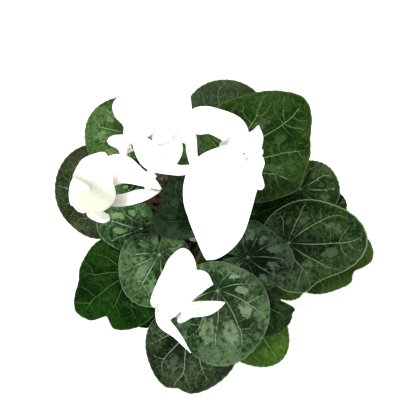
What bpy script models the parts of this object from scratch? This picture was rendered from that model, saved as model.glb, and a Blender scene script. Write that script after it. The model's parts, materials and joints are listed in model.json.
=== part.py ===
"""A potted cyclamen: pot, soil, tuber, leaf blades on their stalks, and nodding flowers of five petals.

Metres, +Z up. The origin is the centre of the pot's underside. The tables are in millimetres and degrees,
because that is how leaves are measured, and every builder scales them by MM.
"""

from math import cos, exp, floor, pi, radians, sin

import bmesh
import bpy
from mathutils import Matrix, Vector

MM = 0.001
GAP = 0.4 * MM  # air between two pieces that touch on the real plant
TURN = 2 * pi

# Pot: a tapered nursery pot with a stepped collar under its rim.
POT_HEIGHT = 105 * MM
POT_BASE_RADIUS = 41 * MM
POT_NECK_RADIUS = 55.5 * MM
POT_RIM_RADIUS = 60 * MM
POT_WALL = 1.6 * MM
COLLAR_HEIGHT = 13 * MM
DRAIN_HOLES = 6
DRAIN_RADIUS = 4.5 * MM
DRAIN_CIRCLE = 27 * MM
POT_SIDES = 48

# Soil and tuber. The soil bridges the drain holes, and the tuber sits half out of it, as growers plant it.
SOIL_LEVEL = 91 * MM
DRAIN_SPACE = 3.4 * MM
TUBER_RADIUS = 19 * MM
TUBER_HALF_HEIGHT = 12 * MM
TUBER_CENTRE = SOIL_LEVEL + 2 * MM
ROUND_SIDES = 28

# Leaves
BLADE_THICKNESS = 0.9 * MM
BLADE_RINGS = (0.34, 0.7, 1.0)
BLADE_BEARINGS = (4, 9, 20, 36, 54, 72, 90, 108, 126, 144, 162)  # to either side of the sinus
SINUS_WIDTH = radians(6)
SINUS_DEPTH = 0.74
STALK_THICK = 1.55 * MM
STALK_THIN = 1.1 * MM
STALK_POINTS = 10

# Flowers
PETAL_THICKNESS = 0.7 * MM
PETAL_ROWS = 8
PETAL_HALF_COLUMNS = 2
PETAL_FOOT = 5.2 * MM
CROWN_RING = 6.2 * MM
CALYX_RADIUS = 4.6 * MM
CALYX_HEIGHT = 7 * MM
NOD = radians(55)  # how far a flower's axis leans from upright, towards the crown
PEDUNCLE_RADIUS = 1.5 * MM

# Leaf blades. at: where the stalk meets the blade. heading: which way the tip points, from +X towards +Y.
# radii: from the stalk to the margin, seen from above, at the tip and every 45 degrees round to the left.
# The fifth of the eight is behind the stalk, before the sinus is cut. slope: rise per millimetre
# towards the tip and towards the left. dome: how far the margin falls. wave: (height, count, phase).
# dents: (bearing, depth, width) of bites in the outline. root: the stalk's bearing and distance on the tuber.
LEAVES = {
    "back": dict(
        at=(11, 83, 140), heading=95, radii=(39, 37, 33, 23, 22, 23, 38, 41), slope=(-0.05, 0.0), dome=5,
        wave=(1.5, 3, 40), root=(70, 13),
    ),
    "back_right": dict(
        at=(22, 56, 158), heading=40, radii=(67, 52, 40, 28, 26, 28, 42, 57), slope=(-0.10, 0.02), dome=5,
        wave=(2.0, 3, 200), root=(75, 8.5),
    ),
    "right_small": dict(
        at=(73, 34, 139), heading=30, radii=(31, 24, 20, 15, 14, 15, 24, 33), slope=(-0.05, 0.0), dome=3,
        wave=(1.2, 3, 0), root=(25, 13),
    ),
    "right": dict(
        at=(62, -8, 153), heading=1, radii=(64, 44, 30, 24, 22, 26, 38, 41), slope=(-0.10, -0.02), dome=5,
        wave=(2.0, 3, 90), root=(10, 8.5),
    ),
    "right_under": dict(
        at=(79, -19, 128), heading=-2, radii=(58, 41, 32, 21, 20, 21, 30, 40), slope=(-0.08, 0.0), dome=4,
        wave=(2.0, 4, 30), dents=((-17, 9, 9),), root=(-15, 13),
    ),
    "middle_right": dict(
        at=(30, -18, 163), heading=-3, radii=(36, 27, 28, 23, 19, 20, 25, 31), slope=(-0.03, 0.0), dome=4,
        wave=(1.0, 3, 10), root=(-35, 8.5),
    ),
    "front_right": dict(
        at=(37, -54, 143), heading=-30, radii=(35, 23, 20, 16, 15, 16, 26, 31), slope=(-0.12, 0.05), dome=3,
        wave=(1.0, 3, 160), dents=((27, 5, 7),), root=(-42, 13),
    ),
    "front_low": dict(
        at=(36, -76, 128), heading=-52, radii=(39, 30, 24, 17, 15, 17, 28, 34), slope=(-0.05, 0.0), dome=4,
        wave=(1.2, 4, 80), root=(-72, 13),
    ),
    "front": dict(
        at=(7, -43, 165), heading=-88, radii=(60, 50, 36, 24, 22, 26, 39, 46), slope=(-0.08, 0.0), dome=6,
        wave=(1.5, 4, 20), root=(-82, 8.5),
    ),
    "front_left": dict(
        at=(-16, -80, 139), heading=-100, radii=(52, 49, 41, 26, 24, 25, 31, 40), slope=(-0.10, 0.0), dome=5,
        wave=(1.5, 4, 120), dents=((0, 4, 8),), root=(-110, 13),
    ),
    "left_low": dict(
        at=(-63, -33, 142), heading=-149, radii=(51, 48, 39, 26, 24, 24, 34, 39), slope=(-0.10, 0.0), dome=5,
        wave=(2.0, 4, 60), dents=((31, 7, 8),), root=(-150, 13),
    ),
    "middle_left": dict(
        at=(-37, -16, 161), heading=-117, radii=(43, 38, 28, 22, 18, 16, 26, 33), slope=(-0.06, 0.0), dome=4,
        wave=(1.0, 3, 250), sinus=205, root=(-132, 8.5),
    ),
    "left_small": dict(
        at=(-51, 3, 154), heading=170, radii=(36, 26, 17, 13, 11, 11, 19, 24), slope=(-0.06, 0.0), dome=3,
        wave=(1.5, 4, 0), root=(200, 8.5),
    ),
    "left": dict(
        at=(-84, 34, 131), heading=178, radii=(42, 41, 40, 24, 22, 24, 36, 42), slope=(-0.08, 0.0), dome=5,
        wave=(1.2, 3, 45), root=(150, 13),
    ),
    "back_left": dict(
        at=(-61, 77, 145), heading=163, radii=(37, 36, 24, 18, 17, 22, 31, 31), slope=(-0.08, 0.0), dome=4,
        wave=(1.2, 4, 100), root=(118, 13),
    ),
    "middle": dict(
        at=(-12, 9, 167), heading=148, radii=(28, 29, 15, 12, 11, 12, 24, 34), slope=(-0.05, 0.0), dome=3,
        wave=(1.0, 3, 0), dents=((-36, 7, 14),), root=(128, 8.5),
    ),
}

# Flowers. mouth: centre of the ring that the petals spring from. root: as for a leaf stalk. bow: how the
# stalk sets off from the crown. The first petal springs from the top of the ring and lies over the stalk.
# Each petal: via and tip, from the mouth; width; roll at foot and tip, where 0 lies flat and 90 is on edge.
FLOWERS = {
    "right": dict(
        mouth=(16, 52, 232), root=(60, 3.9), bow=(0, 2, 60),
        petals=(
            dict(via=(-12, -42, 40), tip=(-17, -64, 14), width=44, roll=(0, 0)),
            dict(via=(5, 16, 10), tip=(8, 17, 32), width=26, roll=(0, 0)),
            dict(via=(14, -10, 4), tip=(15, -24, 2), width=18, roll=(0, 0)),
            dict(via=(-36, -22, 8), tip=(-28, 38, 30), width=18, roll=(30, 78)),
            dict(via=(-8, 20, 2), tip=(-24, 22, 14), width=24, roll=(0, 20)),
        ),
    ),
    "back_left": dict(
        mouth=(-44, 62, 226), root=(100, 3.9), bow=(-16, 46, 10),
        petals=(
            dict(via=(14, -16, 26), tip=(34, -19, 14), width=26, roll=(0, 50)),
            dict(via=(1, 23, 10), tip=(-2, 27, 34), width=23, roll=(0, 0)),
            dict(via=(20, 14, 4), tip=(24, 26, 16), width=28, roll=(0, 0)),
            dict(via=(-14, -4, 0), tip=(-20, -1, 8), width=18, roll=(0, 0)),
            dict(via=(-12, 30, 38), tip=(-5, 9, 26), width=17, roll=(0, 0)),
        ),
    ),
    "left": dict(
        mouth=(-79, 24, 208), root=(180, 3.9), bow=(-32, 6, 18),
        petals=(
            dict(via=(24, -6, 14), tip=(48, 6, 18), width=13, roll=(0, 30)),
            dict(via=(0, 18, 28), tip=(16, 28, 42), width=24, roll=(0, 0)),
            dict(via=(24, 28, 16), tip=(47, 8, 26), width=22, roll=(0, 20)),
            dict(via=(2, -14, 4), tip=(15, -12, 10), width=12, roll=(0, 0)),
            dict(via=(-13, -1, 16), tip=(0, 12, 32), width=13, roll=(0, 0)),
        ),
    ),
    "front": dict(
        mouth=(-25, -50, 222), root=(-60, 3.9), bow=(-4, -6, 60),
        petals=(
            dict(via=(6, 24, 36), tip=(10, 43, 24), width=26, roll=(0, 0)),
            dict(via=(-10, -20, 4), tip=(13, -24, 12), width=14, roll=(30, 70)),
            dict(via=(-10, 16, 10), tip=(-3, 30, 18), width=18, roll=(0, 0)),
            dict(via=(20, 18, 33), tip=(26, 26, 18), width=12, roll=(0, 0)),
            dict(via=(23, -3, -11), tip=(35, 8, 9), width=11, roll=(0, 20)),
        ),
    ),
}

# A bud still closed, low among the leaves.
BUD_AT = (-12, -4, 150)
BUD_ROOT = (-120, 3.9)

PLASTIC = dict(color=(0.30, 0.12, 0.07), roughness=0.5)
PEAT = dict(color=(0.06, 0.035, 0.02), roughness=1.0)
CORM = dict(color=(0.17, 0.10, 0.06), roughness=0.9)
GREEN = dict(color=(0.05, 0.16, 0.05), roughness=0.5)
STEM = dict(color=(0.22, 0.09, 0.06), roughness=0.5)
WHITE = dict(color=(0.92, 0.92, 0.88), roughness=0.55)


def empty_scene():
    for obj in list(bpy.data.objects):
        bpy.data.objects.remove(obj)


def finish(name, color, roughness):
    """A Principled material, made once for each name."""
    mat = bpy.data.materials.get(name) or bpy.data.materials.new(name)
    mat.use_nodes = True
    shader = mat.node_tree.nodes["Principled BSDF"]
    shader.inputs["Base Color"].default_value = (*color, 1)
    shader.inputs["Roughness"].default_value = roughness
    shader.inputs["Metallic"].default_value = 0.0
    return mat


def add_object(name, data, material, look):
    obj = bpy.data.objects.new(name, data)
    obj.data.materials.append(finish(material, **look))
    bpy.context.scene.collection.objects.link(obj)
    return obj


def mesh_from(bm, name, smooth=True):
    """Turns a bmesh into mesh data with its faces pointing out."""
    bmesh.ops.recalc_face_normals(bm, faces=bm.faces)
    mesh = bpy.data.meshes.new(name)
    bm.to_mesh(mesh)
    bm.free()
    if smooth:
        mesh.shade_smooth()
        mesh.set_sharp_from_angle(angle=radians(40))
    return mesh


def turned(name, profile, sides):
    """A turned solid. The profile starts and ends on the axis."""
    bm = bmesh.new()
    points = [bm.verts.new((radius, 0, height)) for radius, height in profile]
    edges = [bm.edges.new(pair) for pair in zip(points, points[1:])]
    bmesh.ops.spin(
        bm, geom=points + edges, cent=(0, 0, 0), axis=(0, 0, 1), angle=TURN, steps=sides, use_merge=True
    )
    bmesh.ops.remove_doubles(bm, verts=bm.verts, dist=0.01 * MM)
    return mesh_from(bm, name)


def pot_inner_radius(height):
    """Inside radius of the tapered wall below the collar."""
    taper = (POT_NECK_RADIUS - POT_BASE_RADIUS) / (POT_HEIGHT - COLLAR_HEIGHT)
    return POT_BASE_RADIUS + taper * height - POT_WALL


def make_pot():
    collar = POT_HEIGHT - COLLAR_HEIGHT
    lip = 1.0 * MM
    profile = [
        (0, 0),
        (POT_BASE_RADIUS - lip, 0),
        (POT_BASE_RADIUS, lip),
        (POT_NECK_RADIUS, collar),
        (POT_RIM_RADIUS - 2 * lip, collar + lip),
        (POT_RIM_RADIUS - lip, POT_HEIGHT - 2 * lip),
        (POT_RIM_RADIUS, POT_HEIGHT - lip),
        (POT_RIM_RADIUS - lip / 2, POT_HEIGHT),
        (POT_RIM_RADIUS - lip - POT_WALL, POT_HEIGHT),
        (POT_RIM_RADIUS - 2 * lip - POT_WALL, collar + lip + POT_WALL),
        (pot_inner_radius(collar - POT_WALL), collar - POT_WALL),
        (pot_inner_radius(POT_WALL), POT_WALL),
        (0, POT_WALL),
    ]
    pot = add_object("pot", turned("pot", profile, POT_SIDES), "pot_plastic", PLASTIC)
    for index in range(DRAIN_HOLES):
        cut_drain_hole(pot, index)


def cut_drain_hole(pot, index):
    bm = bmesh.new()
    bmesh.ops.create_cone(
        bm, cap_ends=True, segments=12, radius1=DRAIN_RADIUS, radius2=DRAIN_RADIUS, depth=6 * POT_WALL
    )
    cutter = add_object(f"drain_cutter_{index}", mesh_from(bm, "drain_cutter"), "pot_plastic", PLASTIC)
    bearing = TURN * (index + 0.06) / DRAIN_HOLES
    cutter.location = (DRAIN_CIRCLE * cos(bearing), DRAIN_CIRCLE * sin(bearing), 0)
    cutter.hide_render = True
    cutter.display_type = "WIRE"
    hole = pot.modifiers.new("drain", "BOOLEAN")
    hole.operation = "DIFFERENCE"
    hole.object = cutter


def tuber_profile(extra, first, last, count):
    """Points on the tuber's side, grown by extra, from one latitude to another, in degrees."""
    wide, high = TUBER_RADIUS + extra, TUBER_HALF_HEIGHT + extra
    steps = [radians(first + (last - first) * step / count) for step in range(count + 1)]
    return [(wide * cos(step), TUBER_CENTRE + high * sin(step)) for step in steps]


def make_soil():
    floor_gap = POT_WALL + DRAIN_SPACE
    shoulder = SOIL_LEVEL - 2 * MM
    bowl = tuber_profile(GAP, -90, -5, 5)
    profile = [
        (0, floor_gap),
        (pot_inner_radius(floor_gap) - GAP, floor_gap),
        (pot_inner_radius(shoulder) - GAP, shoulder),
        (pot_inner_radius(shoulder) - 3 * MM, shoulder + MM),
        *reversed([(max(radius, 0), height) for radius, height in bowl]),
    ]
    profile[-1] = (0, profile[-1][1])
    add_object("soil", turned("soil", profile, ROUND_SIDES), "soil", PEAT)


def make_tuber():
    profile = tuber_profile(0, -90, 90, 8)
    profile[0] = (0, profile[0][1])
    profile[-1] = (0, profile[-1][1])
    add_object("tuber", turned("tuber", profile, ROUND_SIDES), "tuber", CORM)


def round_the_circle(values, bearing):
    """Smooth value at a bearing, through values evenly spaced round the circle."""
    place = (bearing % TURN) / TURN * len(values)
    first = floor(place)
    step = place - first
    before, here, after, beyond = (values[(first + shift) % len(values)] for shift in (-1, 0, 1, 2))
    slope = after - before
    bend = 2 * before - 5 * here + 4 * after - beyond
    twist = 3 * (here - after) + beyond - before
    return here + 0.5 * step * (slope + step * (bend + step * twist))


def turn_between(first, second):
    """The signed angle from one bearing to another, the short way round."""
    return (first - second + pi) % TURN - pi


def margin(leaf, bearing):
    """Distance in millimetres from the stalk to the leaf's edge, with its sinus and dents."""
    radius = round_the_circle(leaf["radii"], bearing)
    off_sinus = turn_between(bearing, radians(leaf.get("sinus", 180))) / SINUS_WIDTH
    radius *= 1 - SINUS_DEPTH * exp(-off_sinus * off_sinus)
    for where, depth, width in leaf.get("dents", ()):
        off_dent = turn_between(bearing, radians(where)) / radians(width)
        radius -= depth * exp(-off_dent * off_dent)
    return radius


def blade_point(leaf, bearing, share):
    """A point on the blade's upper face, share of the way from the stalk to the margin."""
    radius = share * margin(leaf, bearing)
    along, across = radius * cos(bearing), radius * sin(bearing)
    reach = radius / max(leaf["radii"])
    height, count, phase = leaf["wave"]
    rise = leaf["slope"][0] * along + leaf["slope"][1] * across - leaf["dome"] * reach * reach
    rise += height * share**3 * sin(count * bearing + radians(phase))
    heading = radians(leaf["heading"])
    x, y, z = leaf["at"]
    return MM * Vector(
        (
            x + along * cos(heading) - across * sin(heading),
            y + along * sin(heading) + across * cos(heading),
            z + rise,
        )
    )


def make_blade(name, leaf):
    """The blade is a fan of rings about the stalk, thickened downwards."""
    bm = bmesh.new()
    middle = bm.verts.new(blade_point(leaf, 0, 0))
    sinus = leaf.get("sinus", 180)
    offsets = (0, *BLADE_BEARINGS, 180, *(-offset for offset in reversed(BLADE_BEARINGS)))
    bearings = [radians(sinus + offset) for offset in offsets]
    sectors = len(bearings)
    rings = [
        [bm.verts.new(blade_point(leaf, bearing, share)) for bearing in bearings] for share in BLADE_RINGS
    ]
    for sector in range(sectors):
        after = (sector + 1) % sectors
        bm.faces.new((middle, rings[0][sector], rings[0][after]))
        for inner, outer in zip(rings, rings[1:]):
            bm.faces.new((inner[sector], outer[sector], outer[after], inner[after]))
    mesh = mesh_from(bm, name)
    blade = add_object(name, mesh, "leaf_green", GREEN)
    if mesh.polygons[0].normal.z < 0:
        mesh.flip_normals()
    thicken(blade, BLADE_THICKNESS)


def thicken(obj, thickness):
    """Adds thickness below a sheet."""
    wall = obj.modifiers.new("thickness", "SOLIDIFY")
    wall.thickness = thickness
    wall.offset = -1


def bezier(knots, step):
    """A point on the cubic curve with these four knots."""
    a, b, c, d = knots
    back = 1 - step
    return back**3 * a + 3 * back * back * step * b + 3 * back * step * step * c + step**3 * d


def crown_point(root, rise=1.2):
    """Where a stalk starts, just over the tuber's dome. root is a bearing and a distance in millimetres."""
    bearing, distance = radians(root[0]), root[1] * MM
    dome = (1 - (distance / TUBER_RADIUS) ** 2) ** 0.5 * TUBER_HALF_HEIGHT
    return Vector((distance * cos(bearing), distance * sin(bearing), TUBER_CENTRE + dome + rise * MM))


def make_tube(name, points, radii, material, look):
    """A round stalk through the points, with a radius at each."""
    curve = bpy.data.curves.new(name, "CURVE")
    curve.dimensions = "3D"
    curve.bevel_depth = 1.0
    curve.bevel_resolution = 1
    curve.use_fill_caps = True
    spline = curve.splines.new("POLY")
    spline.points.add(len(points) - 1)
    for knot, point, radius in zip(spline.points, points, radii):
        knot.co = (*point, 1)
        knot.radius = radius
    return add_object(name, curve, material, look)


def make_leaf_stalk(name, leaf):
    """A stalk that leaves the crown upwards and meets the blade's underside at a slant."""
    start = crown_point(leaf["root"])
    x, y, z = leaf["at"]
    end = MM * Vector((x, y, z)) - Vector((0, 0, BLADE_THICKNESS + STALK_THIN + GAP))
    reach = (end - start).length
    outward = Vector((end.x - start.x, end.y - start.y, 0)).normalized()
    lean = (0.62 * outward + 0.78 * Vector((0, 0, 1))).normalized()
    knots = (
        start,
        start + Vector((0, 0, 0.34 * reach)) + 0.05 * reach * outward,
        end - 0.3 * reach * lean,
        end,
    )
    steps = [index / (STALK_POINTS - 1) for index in range(STALK_POINTS)]
    radii = [STALK_THICK + (STALK_THIN - STALK_THICK) * step for step in steps]
    make_tube(name, [bezier(knots, step) for step in steps], radii, "stem", STEM)


def petal_width(step):
    """Share of the full width along the petal: a narrow claw, widest past the middle, a blunt point."""
    widest = 0.58
    if step < widest:
        return sin(pi / 2 * step / widest) ** 1.2
    return max(0.0, 1 - ((step - widest) / (1 - widest)) ** 2) ** 0.62


def flower_axes(flower):
    """Three axes at a flower's mouth: along its stalk, up, and across."""
    mouth = Vector(flower["mouth"])
    inward = Vector((-mouth.x, -mouth.y, 0)).normalized()
    along = sin(NOD) * inward + cos(NOD) * Vector((0, 0, 1))
    up = sin(NOD) * Vector((0, 0, 1)) - cos(NOD) * inward
    return along, up, up.cross(along)


def petal_point(flower, index, step, side):
    """A point on a petal: step runs from foot to tip, side from -1 to 1 across it."""
    petal = flower["petals"][index]
    turn = TURN * index / len(flower["petals"])
    along, up, over = flower_axes(flower)
    outward = cos(turn) * up + sin(turn) * over
    mouth = MM * Vector(flower["mouth"])
    foot = mouth + CROWN_RING * outward
    knots = (
        foot,
        foot + 5 * MM * outward - (7.5 - 2.5 * cos(turn)) * MM * along,
        mouth + MM * Vector(petal["via"]),
        mouth + MM * Vector(petal["tip"]),
    )
    here = bezier(knots, step)
    ahead = (bezier(knots, min(step + 0.01, 1)) - bezier(knots, max(step - 0.01, 0))).normalized()
    level = Vector((0, 0, 1)).cross(ahead)
    tangent = along.cross(outward)
    if tangent.dot(level) < 0:
        tangent = -tangent
    share = min(1, step / 0.35)
    across = (tangent * (1 - share) + level * share).normalized()
    across = (across - across.dot(ahead) * ahead).normalized()
    first, last = petal["roll"]
    across = Matrix.Rotation(radians(first + (last - first) * step), 3, ahead) @ across
    face = ahead.cross(across).normalized()
    claw = PETAL_FOOT / 2 * max(0.0, 1 - step / 0.3)
    half = max(petal["width"] * MM / 2 * petal_width(step), claw, 0.6 * MM)
    return here + half * side * across + 0.16 * half * side * side * face


def make_petal(name, flower, index):
    bm = bmesh.new()
    sides = [column / PETAL_HALF_COLUMNS for column in range(-PETAL_HALF_COLUMNS, PETAL_HALF_COLUMNS + 1)]
    rows = [
        [bm.verts.new(petal_point(flower, index, row / PETAL_ROWS, side)) for side in sides]
        for row in range(PETAL_ROWS + 1)
    ]
    for lower, upper in zip(rows, rows[1:]):
        for left in range(len(sides) - 1):
            bm.faces.new((lower[left], lower[left + 1], upper[left + 1], upper[left]))
    thicken(add_object(name, mesh_from(bm, name), "petal_white", WHITE), PETAL_THICKNESS)


def make_flower_stalk(name, flower):
    """Stalk and calyx in one: it rises, hooks over and swells into the calyx."""
    start = crown_point(flower["root"])
    mouth = MM * Vector(flower["mouth"])
    along = flower_axes(flower)[0]
    neck = mouth + CALYX_HEIGHT * along
    knots = (start, start + MM * Vector(flower["bow"]), neck + 16 * MM * along, neck)
    points = [bezier(knots, (step / 15) ** 0.8) for step in range(16)]
    radii = [PEDUNCLE_RADIUS] * len(points)
    points += [mouth + CALYX_HEIGHT * share * along for share in (0.8, 0.4, 0.1)]
    radii += [0.6 * CALYX_RADIUS, 0.95 * CALYX_RADIUS, CALYX_RADIUS]
    make_tube(name, points, radii, "stem", STEM)


def make_bud():
    """A furled bud and its stalk, one tapered body."""
    start = crown_point(BUD_ROOT)
    tip = MM * Vector(BUD_AT)
    knots = (start, start + Vector((0, 0, 14 * MM)), tip - Vector((0, 0, 20 * MM)), tip)
    steps = [index / 13 for index in range(14)]
    swell = [PEDUNCLE_RADIUS * 0.8] * 7 + [scale * MM for scale in (1.4, 2.6, 3.6, 3.9, 3.3, 2.2, 0.9)]
    make_tube("flower_bud", [bezier(knots, step) for step in steps], swell, "stem", STEM)


def main():
    empty_scene()
    make_pot()
    make_soil()
    make_tuber()
    for name, leaf in LEAVES.items():
        make_blade(f"leaf_{name}", leaf)
        make_leaf_stalk(f"leaf_stalk_{name}", leaf)
    for name, flower in FLOWERS.items():
        make_flower_stalk(f"flower_stalk_{name}", flower)
        for index in range(len(flower["petals"])):
            make_petal(f"petal_{name}_{index + 1}", flower, index)
    make_bud()


main()
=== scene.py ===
# %% [markdown]
# # A potted cyclamen
# A florist's cyclamen has a corky tuber half out of the soil. Every leaf and every flower has a stalk of its
# own, and all of them spring from the top of that tuber. The stalks are plain tubes, so the work is in two
# sheets that are repeated many times: the marbled, heart-shaped leaf blade and the swept-back white petal.
#
# The solids that are loaded here give each part its place and its rough shape. Leaves, petals, stalks, soil
# and tuber are built again with the finer shape that the solids leave out, and the pot only gets a better
# material.

# %% Load the frame
import json
from math import ceil, cos, exp, pi, radians, sin

import bmesh
import bpy
import numpy as np
from mathutils import Matrix, Vector, kdtree, noise

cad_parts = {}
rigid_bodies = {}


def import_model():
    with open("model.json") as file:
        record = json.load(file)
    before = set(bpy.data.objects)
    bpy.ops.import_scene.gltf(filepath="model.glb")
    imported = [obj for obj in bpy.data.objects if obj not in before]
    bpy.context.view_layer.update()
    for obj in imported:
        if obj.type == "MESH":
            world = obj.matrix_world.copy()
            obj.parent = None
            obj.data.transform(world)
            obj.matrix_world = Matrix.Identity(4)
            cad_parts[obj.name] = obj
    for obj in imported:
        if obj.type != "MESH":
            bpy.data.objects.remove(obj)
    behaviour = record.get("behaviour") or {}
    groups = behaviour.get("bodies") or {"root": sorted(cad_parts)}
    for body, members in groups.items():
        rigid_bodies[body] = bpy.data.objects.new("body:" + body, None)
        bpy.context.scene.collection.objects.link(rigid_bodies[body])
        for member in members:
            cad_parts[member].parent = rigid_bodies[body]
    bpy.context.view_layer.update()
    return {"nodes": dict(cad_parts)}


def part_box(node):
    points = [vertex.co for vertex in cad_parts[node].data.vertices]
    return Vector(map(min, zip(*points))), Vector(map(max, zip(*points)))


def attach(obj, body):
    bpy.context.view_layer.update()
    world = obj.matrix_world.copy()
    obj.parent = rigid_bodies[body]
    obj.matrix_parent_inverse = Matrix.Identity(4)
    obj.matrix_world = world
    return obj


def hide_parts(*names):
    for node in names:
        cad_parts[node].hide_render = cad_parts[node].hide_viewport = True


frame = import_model()
nodes = frame["nodes"]
MM = 0.001
TURN = 2 * pi

# %% [markdown]
# ## Camera
# A cyclamen is at its best from above, where the leaves make a rosette and hide the pot. The camera looks
# straight down from arm's length. A long lens from farther off would flatten the plant. From here the
# flowers, which stand nearer, are a little larger than the leaves, as they are to the eye.

# %% Camera
EYE = Vector((0, 0.019, 0.62))
LENS = 52.3
camera = bpy.data.objects.new("camera", bpy.data.cameras.new("camera"))
camera.location = EYE
camera.data.lens = LENS
camera.data.sensor_width = 36
bpy.context.scene.collection.objects.link(camera)
bpy.context.scene.camera = camera
bpy.context.scene.view_settings.view_transform = "Standard"
print("camera:", round(EYE.z, 3), "m up, with a lens of", LENS, "mm")

# %% [markdown]
# ## Light
# A soft bright sky lights the leaves from all sides. One large lamp to the upper left gives them some shape,
# and a weaker one across from it fills the shade. One hard lamp would make black shadows between the leaves.
# Together they are strong enough to turn the white petals and the floor nearly pure white, as in a plant
# catalogue, while the leaves stay deep.

# %% Light
SKY_STRENGTH = 1.0
world = bpy.data.worlds.new("studio")
world.use_nodes = True
world.node_tree.nodes["Background"].inputs["Color"].default_value = (1, 1, 1, 1)
world.node_tree.nodes["Background"].inputs["Strength"].default_value = SKY_STRENGTH
bpy.context.scene.world = world


def soft_lamp(name, place, size, power):
    """A square lamp that faces the plant."""
    lamp = bpy.data.objects.new(name, bpy.data.lights.new(name, "AREA"))
    lamp.data.size = size
    lamp.data.energy = power
    lamp.location = place
    aim = Vector((0, 0, 0.15)) - Vector(place)
    lamp.rotation_euler = aim.to_track_quat("-Z", "Y").to_euler()
    bpy.context.scene.collection.objects.link(lamp)


soft_lamp("key_lamp", (-0.55, 0.6, 1.6), 0.5, 32)
soft_lamp("fill_lamp", (1.0, -0.5, 1.3), 0.9, 10)
print("sky:", SKY_STRENGTH, "lamps:", [lamp.name for lamp in bpy.data.lights])

# %% [markdown]
# ## Shader maths as Python
# A material is a net of nodes, and clicking nets together in the editor is slow to change. It can be written
# as sums instead: a `Value` is one output socket, and adding or multiplying two of them adds a Math node. The
# reflected operators let a plain number stand first, as in `1 - mask`. `step` is the ramp that most masks are
# made with.

# %% A value in the net
class Value:
    """One output socket, used like a number."""

    def __init__(self, finish, socket):
        self.finish = finish
        self.socket = socket

    def math(self, operation, *terms):
        return self.finish.node("ShaderNodeMath", {"operation": operation}, dict(enumerate(terms)))

    def __add__(self, other):
        return self.math("ADD", self, other)

    def __sub__(self, other):
        return self.math("SUBTRACT", self, other)

    def __rsub__(self, other):
        return self.math("SUBTRACT", other, self)

    def __mul__(self, other):
        return self.math("MULTIPLY", self, other)

    __radd__ = __add__
    __rmul__ = __mul__

    def sine(self):
        return self.math("SINE", self)

    def step(self, low, high):
        """0 below low, 1 above high and a smooth ramp between them."""
        inputs = {"Value": self, "From Min": low, "From Max": high}
        return self.finish.node("ShaderNodeMapRange", {"interpolation_type": "SMOOTHSTEP"}, inputs)


print("a Value knows:", [word for word in vars(Value) if not word.startswith("_")])

# %% [markdown]
# ## A finish
# A `Finish` is one material. Its `node` method makes any other node from its type, its settings and what its
# sockets are fed with. The short methods below it are the few kinds of node that this plant needs: a number
# stored at the mesh's points, a colour mix, a soft noise, a net of cells, and bump.

# %% The finish class
class Finish:
    """A material and the nodes that it is made of."""

    def __init__(self, name):
        self.material = bpy.data.materials.new(name)
        self.material.use_nodes = True
        self.tree = self.material.node_tree
        self.shader = self.tree.nodes["Principled BSDF"]

    def node(self, kind, settings=None, inputs=None, output=0):
        made = self.tree.nodes.new(kind)
        for key, value in (settings or {}).items():
            setattr(made, key, value)
        for key, value in (inputs or {}).items():
            self.feed(made.inputs[key], value)
        return Value(self, made.outputs[output])

    def feed(self, socket, value):
        if isinstance(value, Value):
            self.tree.links.new(value.socket, socket)
        elif isinstance(value, tuple) and len(socket.default_value) == 4:
            socket.default_value = (*value, 1)
        else:
            socket.default_value = value

    def set(self, **inputs):
        """Sets the shader's own sockets. Underscores stand for spaces."""
        for key, value in inputs.items():
            self.feed(self.shader.inputs[key.replace("_", " ")], value)

    def attribute(self, name):
        return self.node("ShaderNodeAttribute", {"attribute_name": name}, output="Fac")

    def mix(self, factor, first, second):
        return self.node("ShaderNodeMix", {"data_type": "RGBA"}, {0: factor, 6: first, 7: second}, output=2)

    def noise(self, where, scale, detail=3, roughness=0.5):
        inputs = {"Vector": where, "Scale": scale, "Detail": detail, "Roughness": roughness}
        return self.node("ShaderNodeTexNoise", {}, inputs)

    def cells(self, where, scale, feature="DISTANCE_TO_EDGE"):
        return self.node("ShaderNodeTexVoronoi", {"feature": feature}, {"Vector": where, "Scale": scale})

    def bump(self, height, distance, strength=1.0):
        inputs = {"Height": height, "Distance": distance, "Strength": strength}
        self.set(Normal=self.node("ShaderNodeBump", {}, inputs))

    def place(self):
        """Where a point is on the piece, in metres."""
        return self.node("ShaderNodeTexCoord", output="Object")

    def unwrapped(self):
        """Where a point is on the flat sheet, in metres."""
        return self.node("ShaderNodeTexCoord", output="UV")


print("a Finish knows:", [word for word in vars(Finish) if not word.startswith("_")])

# %% [markdown]
# ## The floor
# The plant stands on a large sheet of pale paper. A plain white plane would do for the colour, but a trace of
# grain in its colour and roughness keeps it from looking empty. It lies half a millimetre low, so that the
# pot's base and the floor don't flicker into each other.

# %% Floor
FLOOR_SIZE = 4


def floor_finish():
    finish = Finish("floor_paper")
    grain = finish.noise(finish.place(), 40)
    paper = finish.mix(grain, (0.90, 0.90, 0.90), (0.94, 0.94, 0.94))
    finish.set(Base_Color=paper, Roughness=grain * 0.1 + 0.8)
    return finish.material


def make_floor():
    bm = bmesh.new()
    bmesh.ops.create_grid(bm, x_segments=2, y_segments=2, size=FLOOR_SIZE)
    mesh = bpy.data.meshes.new("floor")
    bm.to_mesh(mesh)
    bm.free()
    floor = bpy.data.objects.new("floor", mesh)
    floor.location.z = -0.0005
    bpy.context.scene.collection.objects.link(floor)
    floor.data.materials.append(floor_finish())


make_floor()
print("floor:", 2 * FLOOR_SIZE, "m wide")

# %% [markdown] ## Making a piece Every piece is a list of points and faces. A piece can also carry numbers at
# its points, such as how close a vein is. A material reads those by name, so a pattern can follow the real
# shape.

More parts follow.
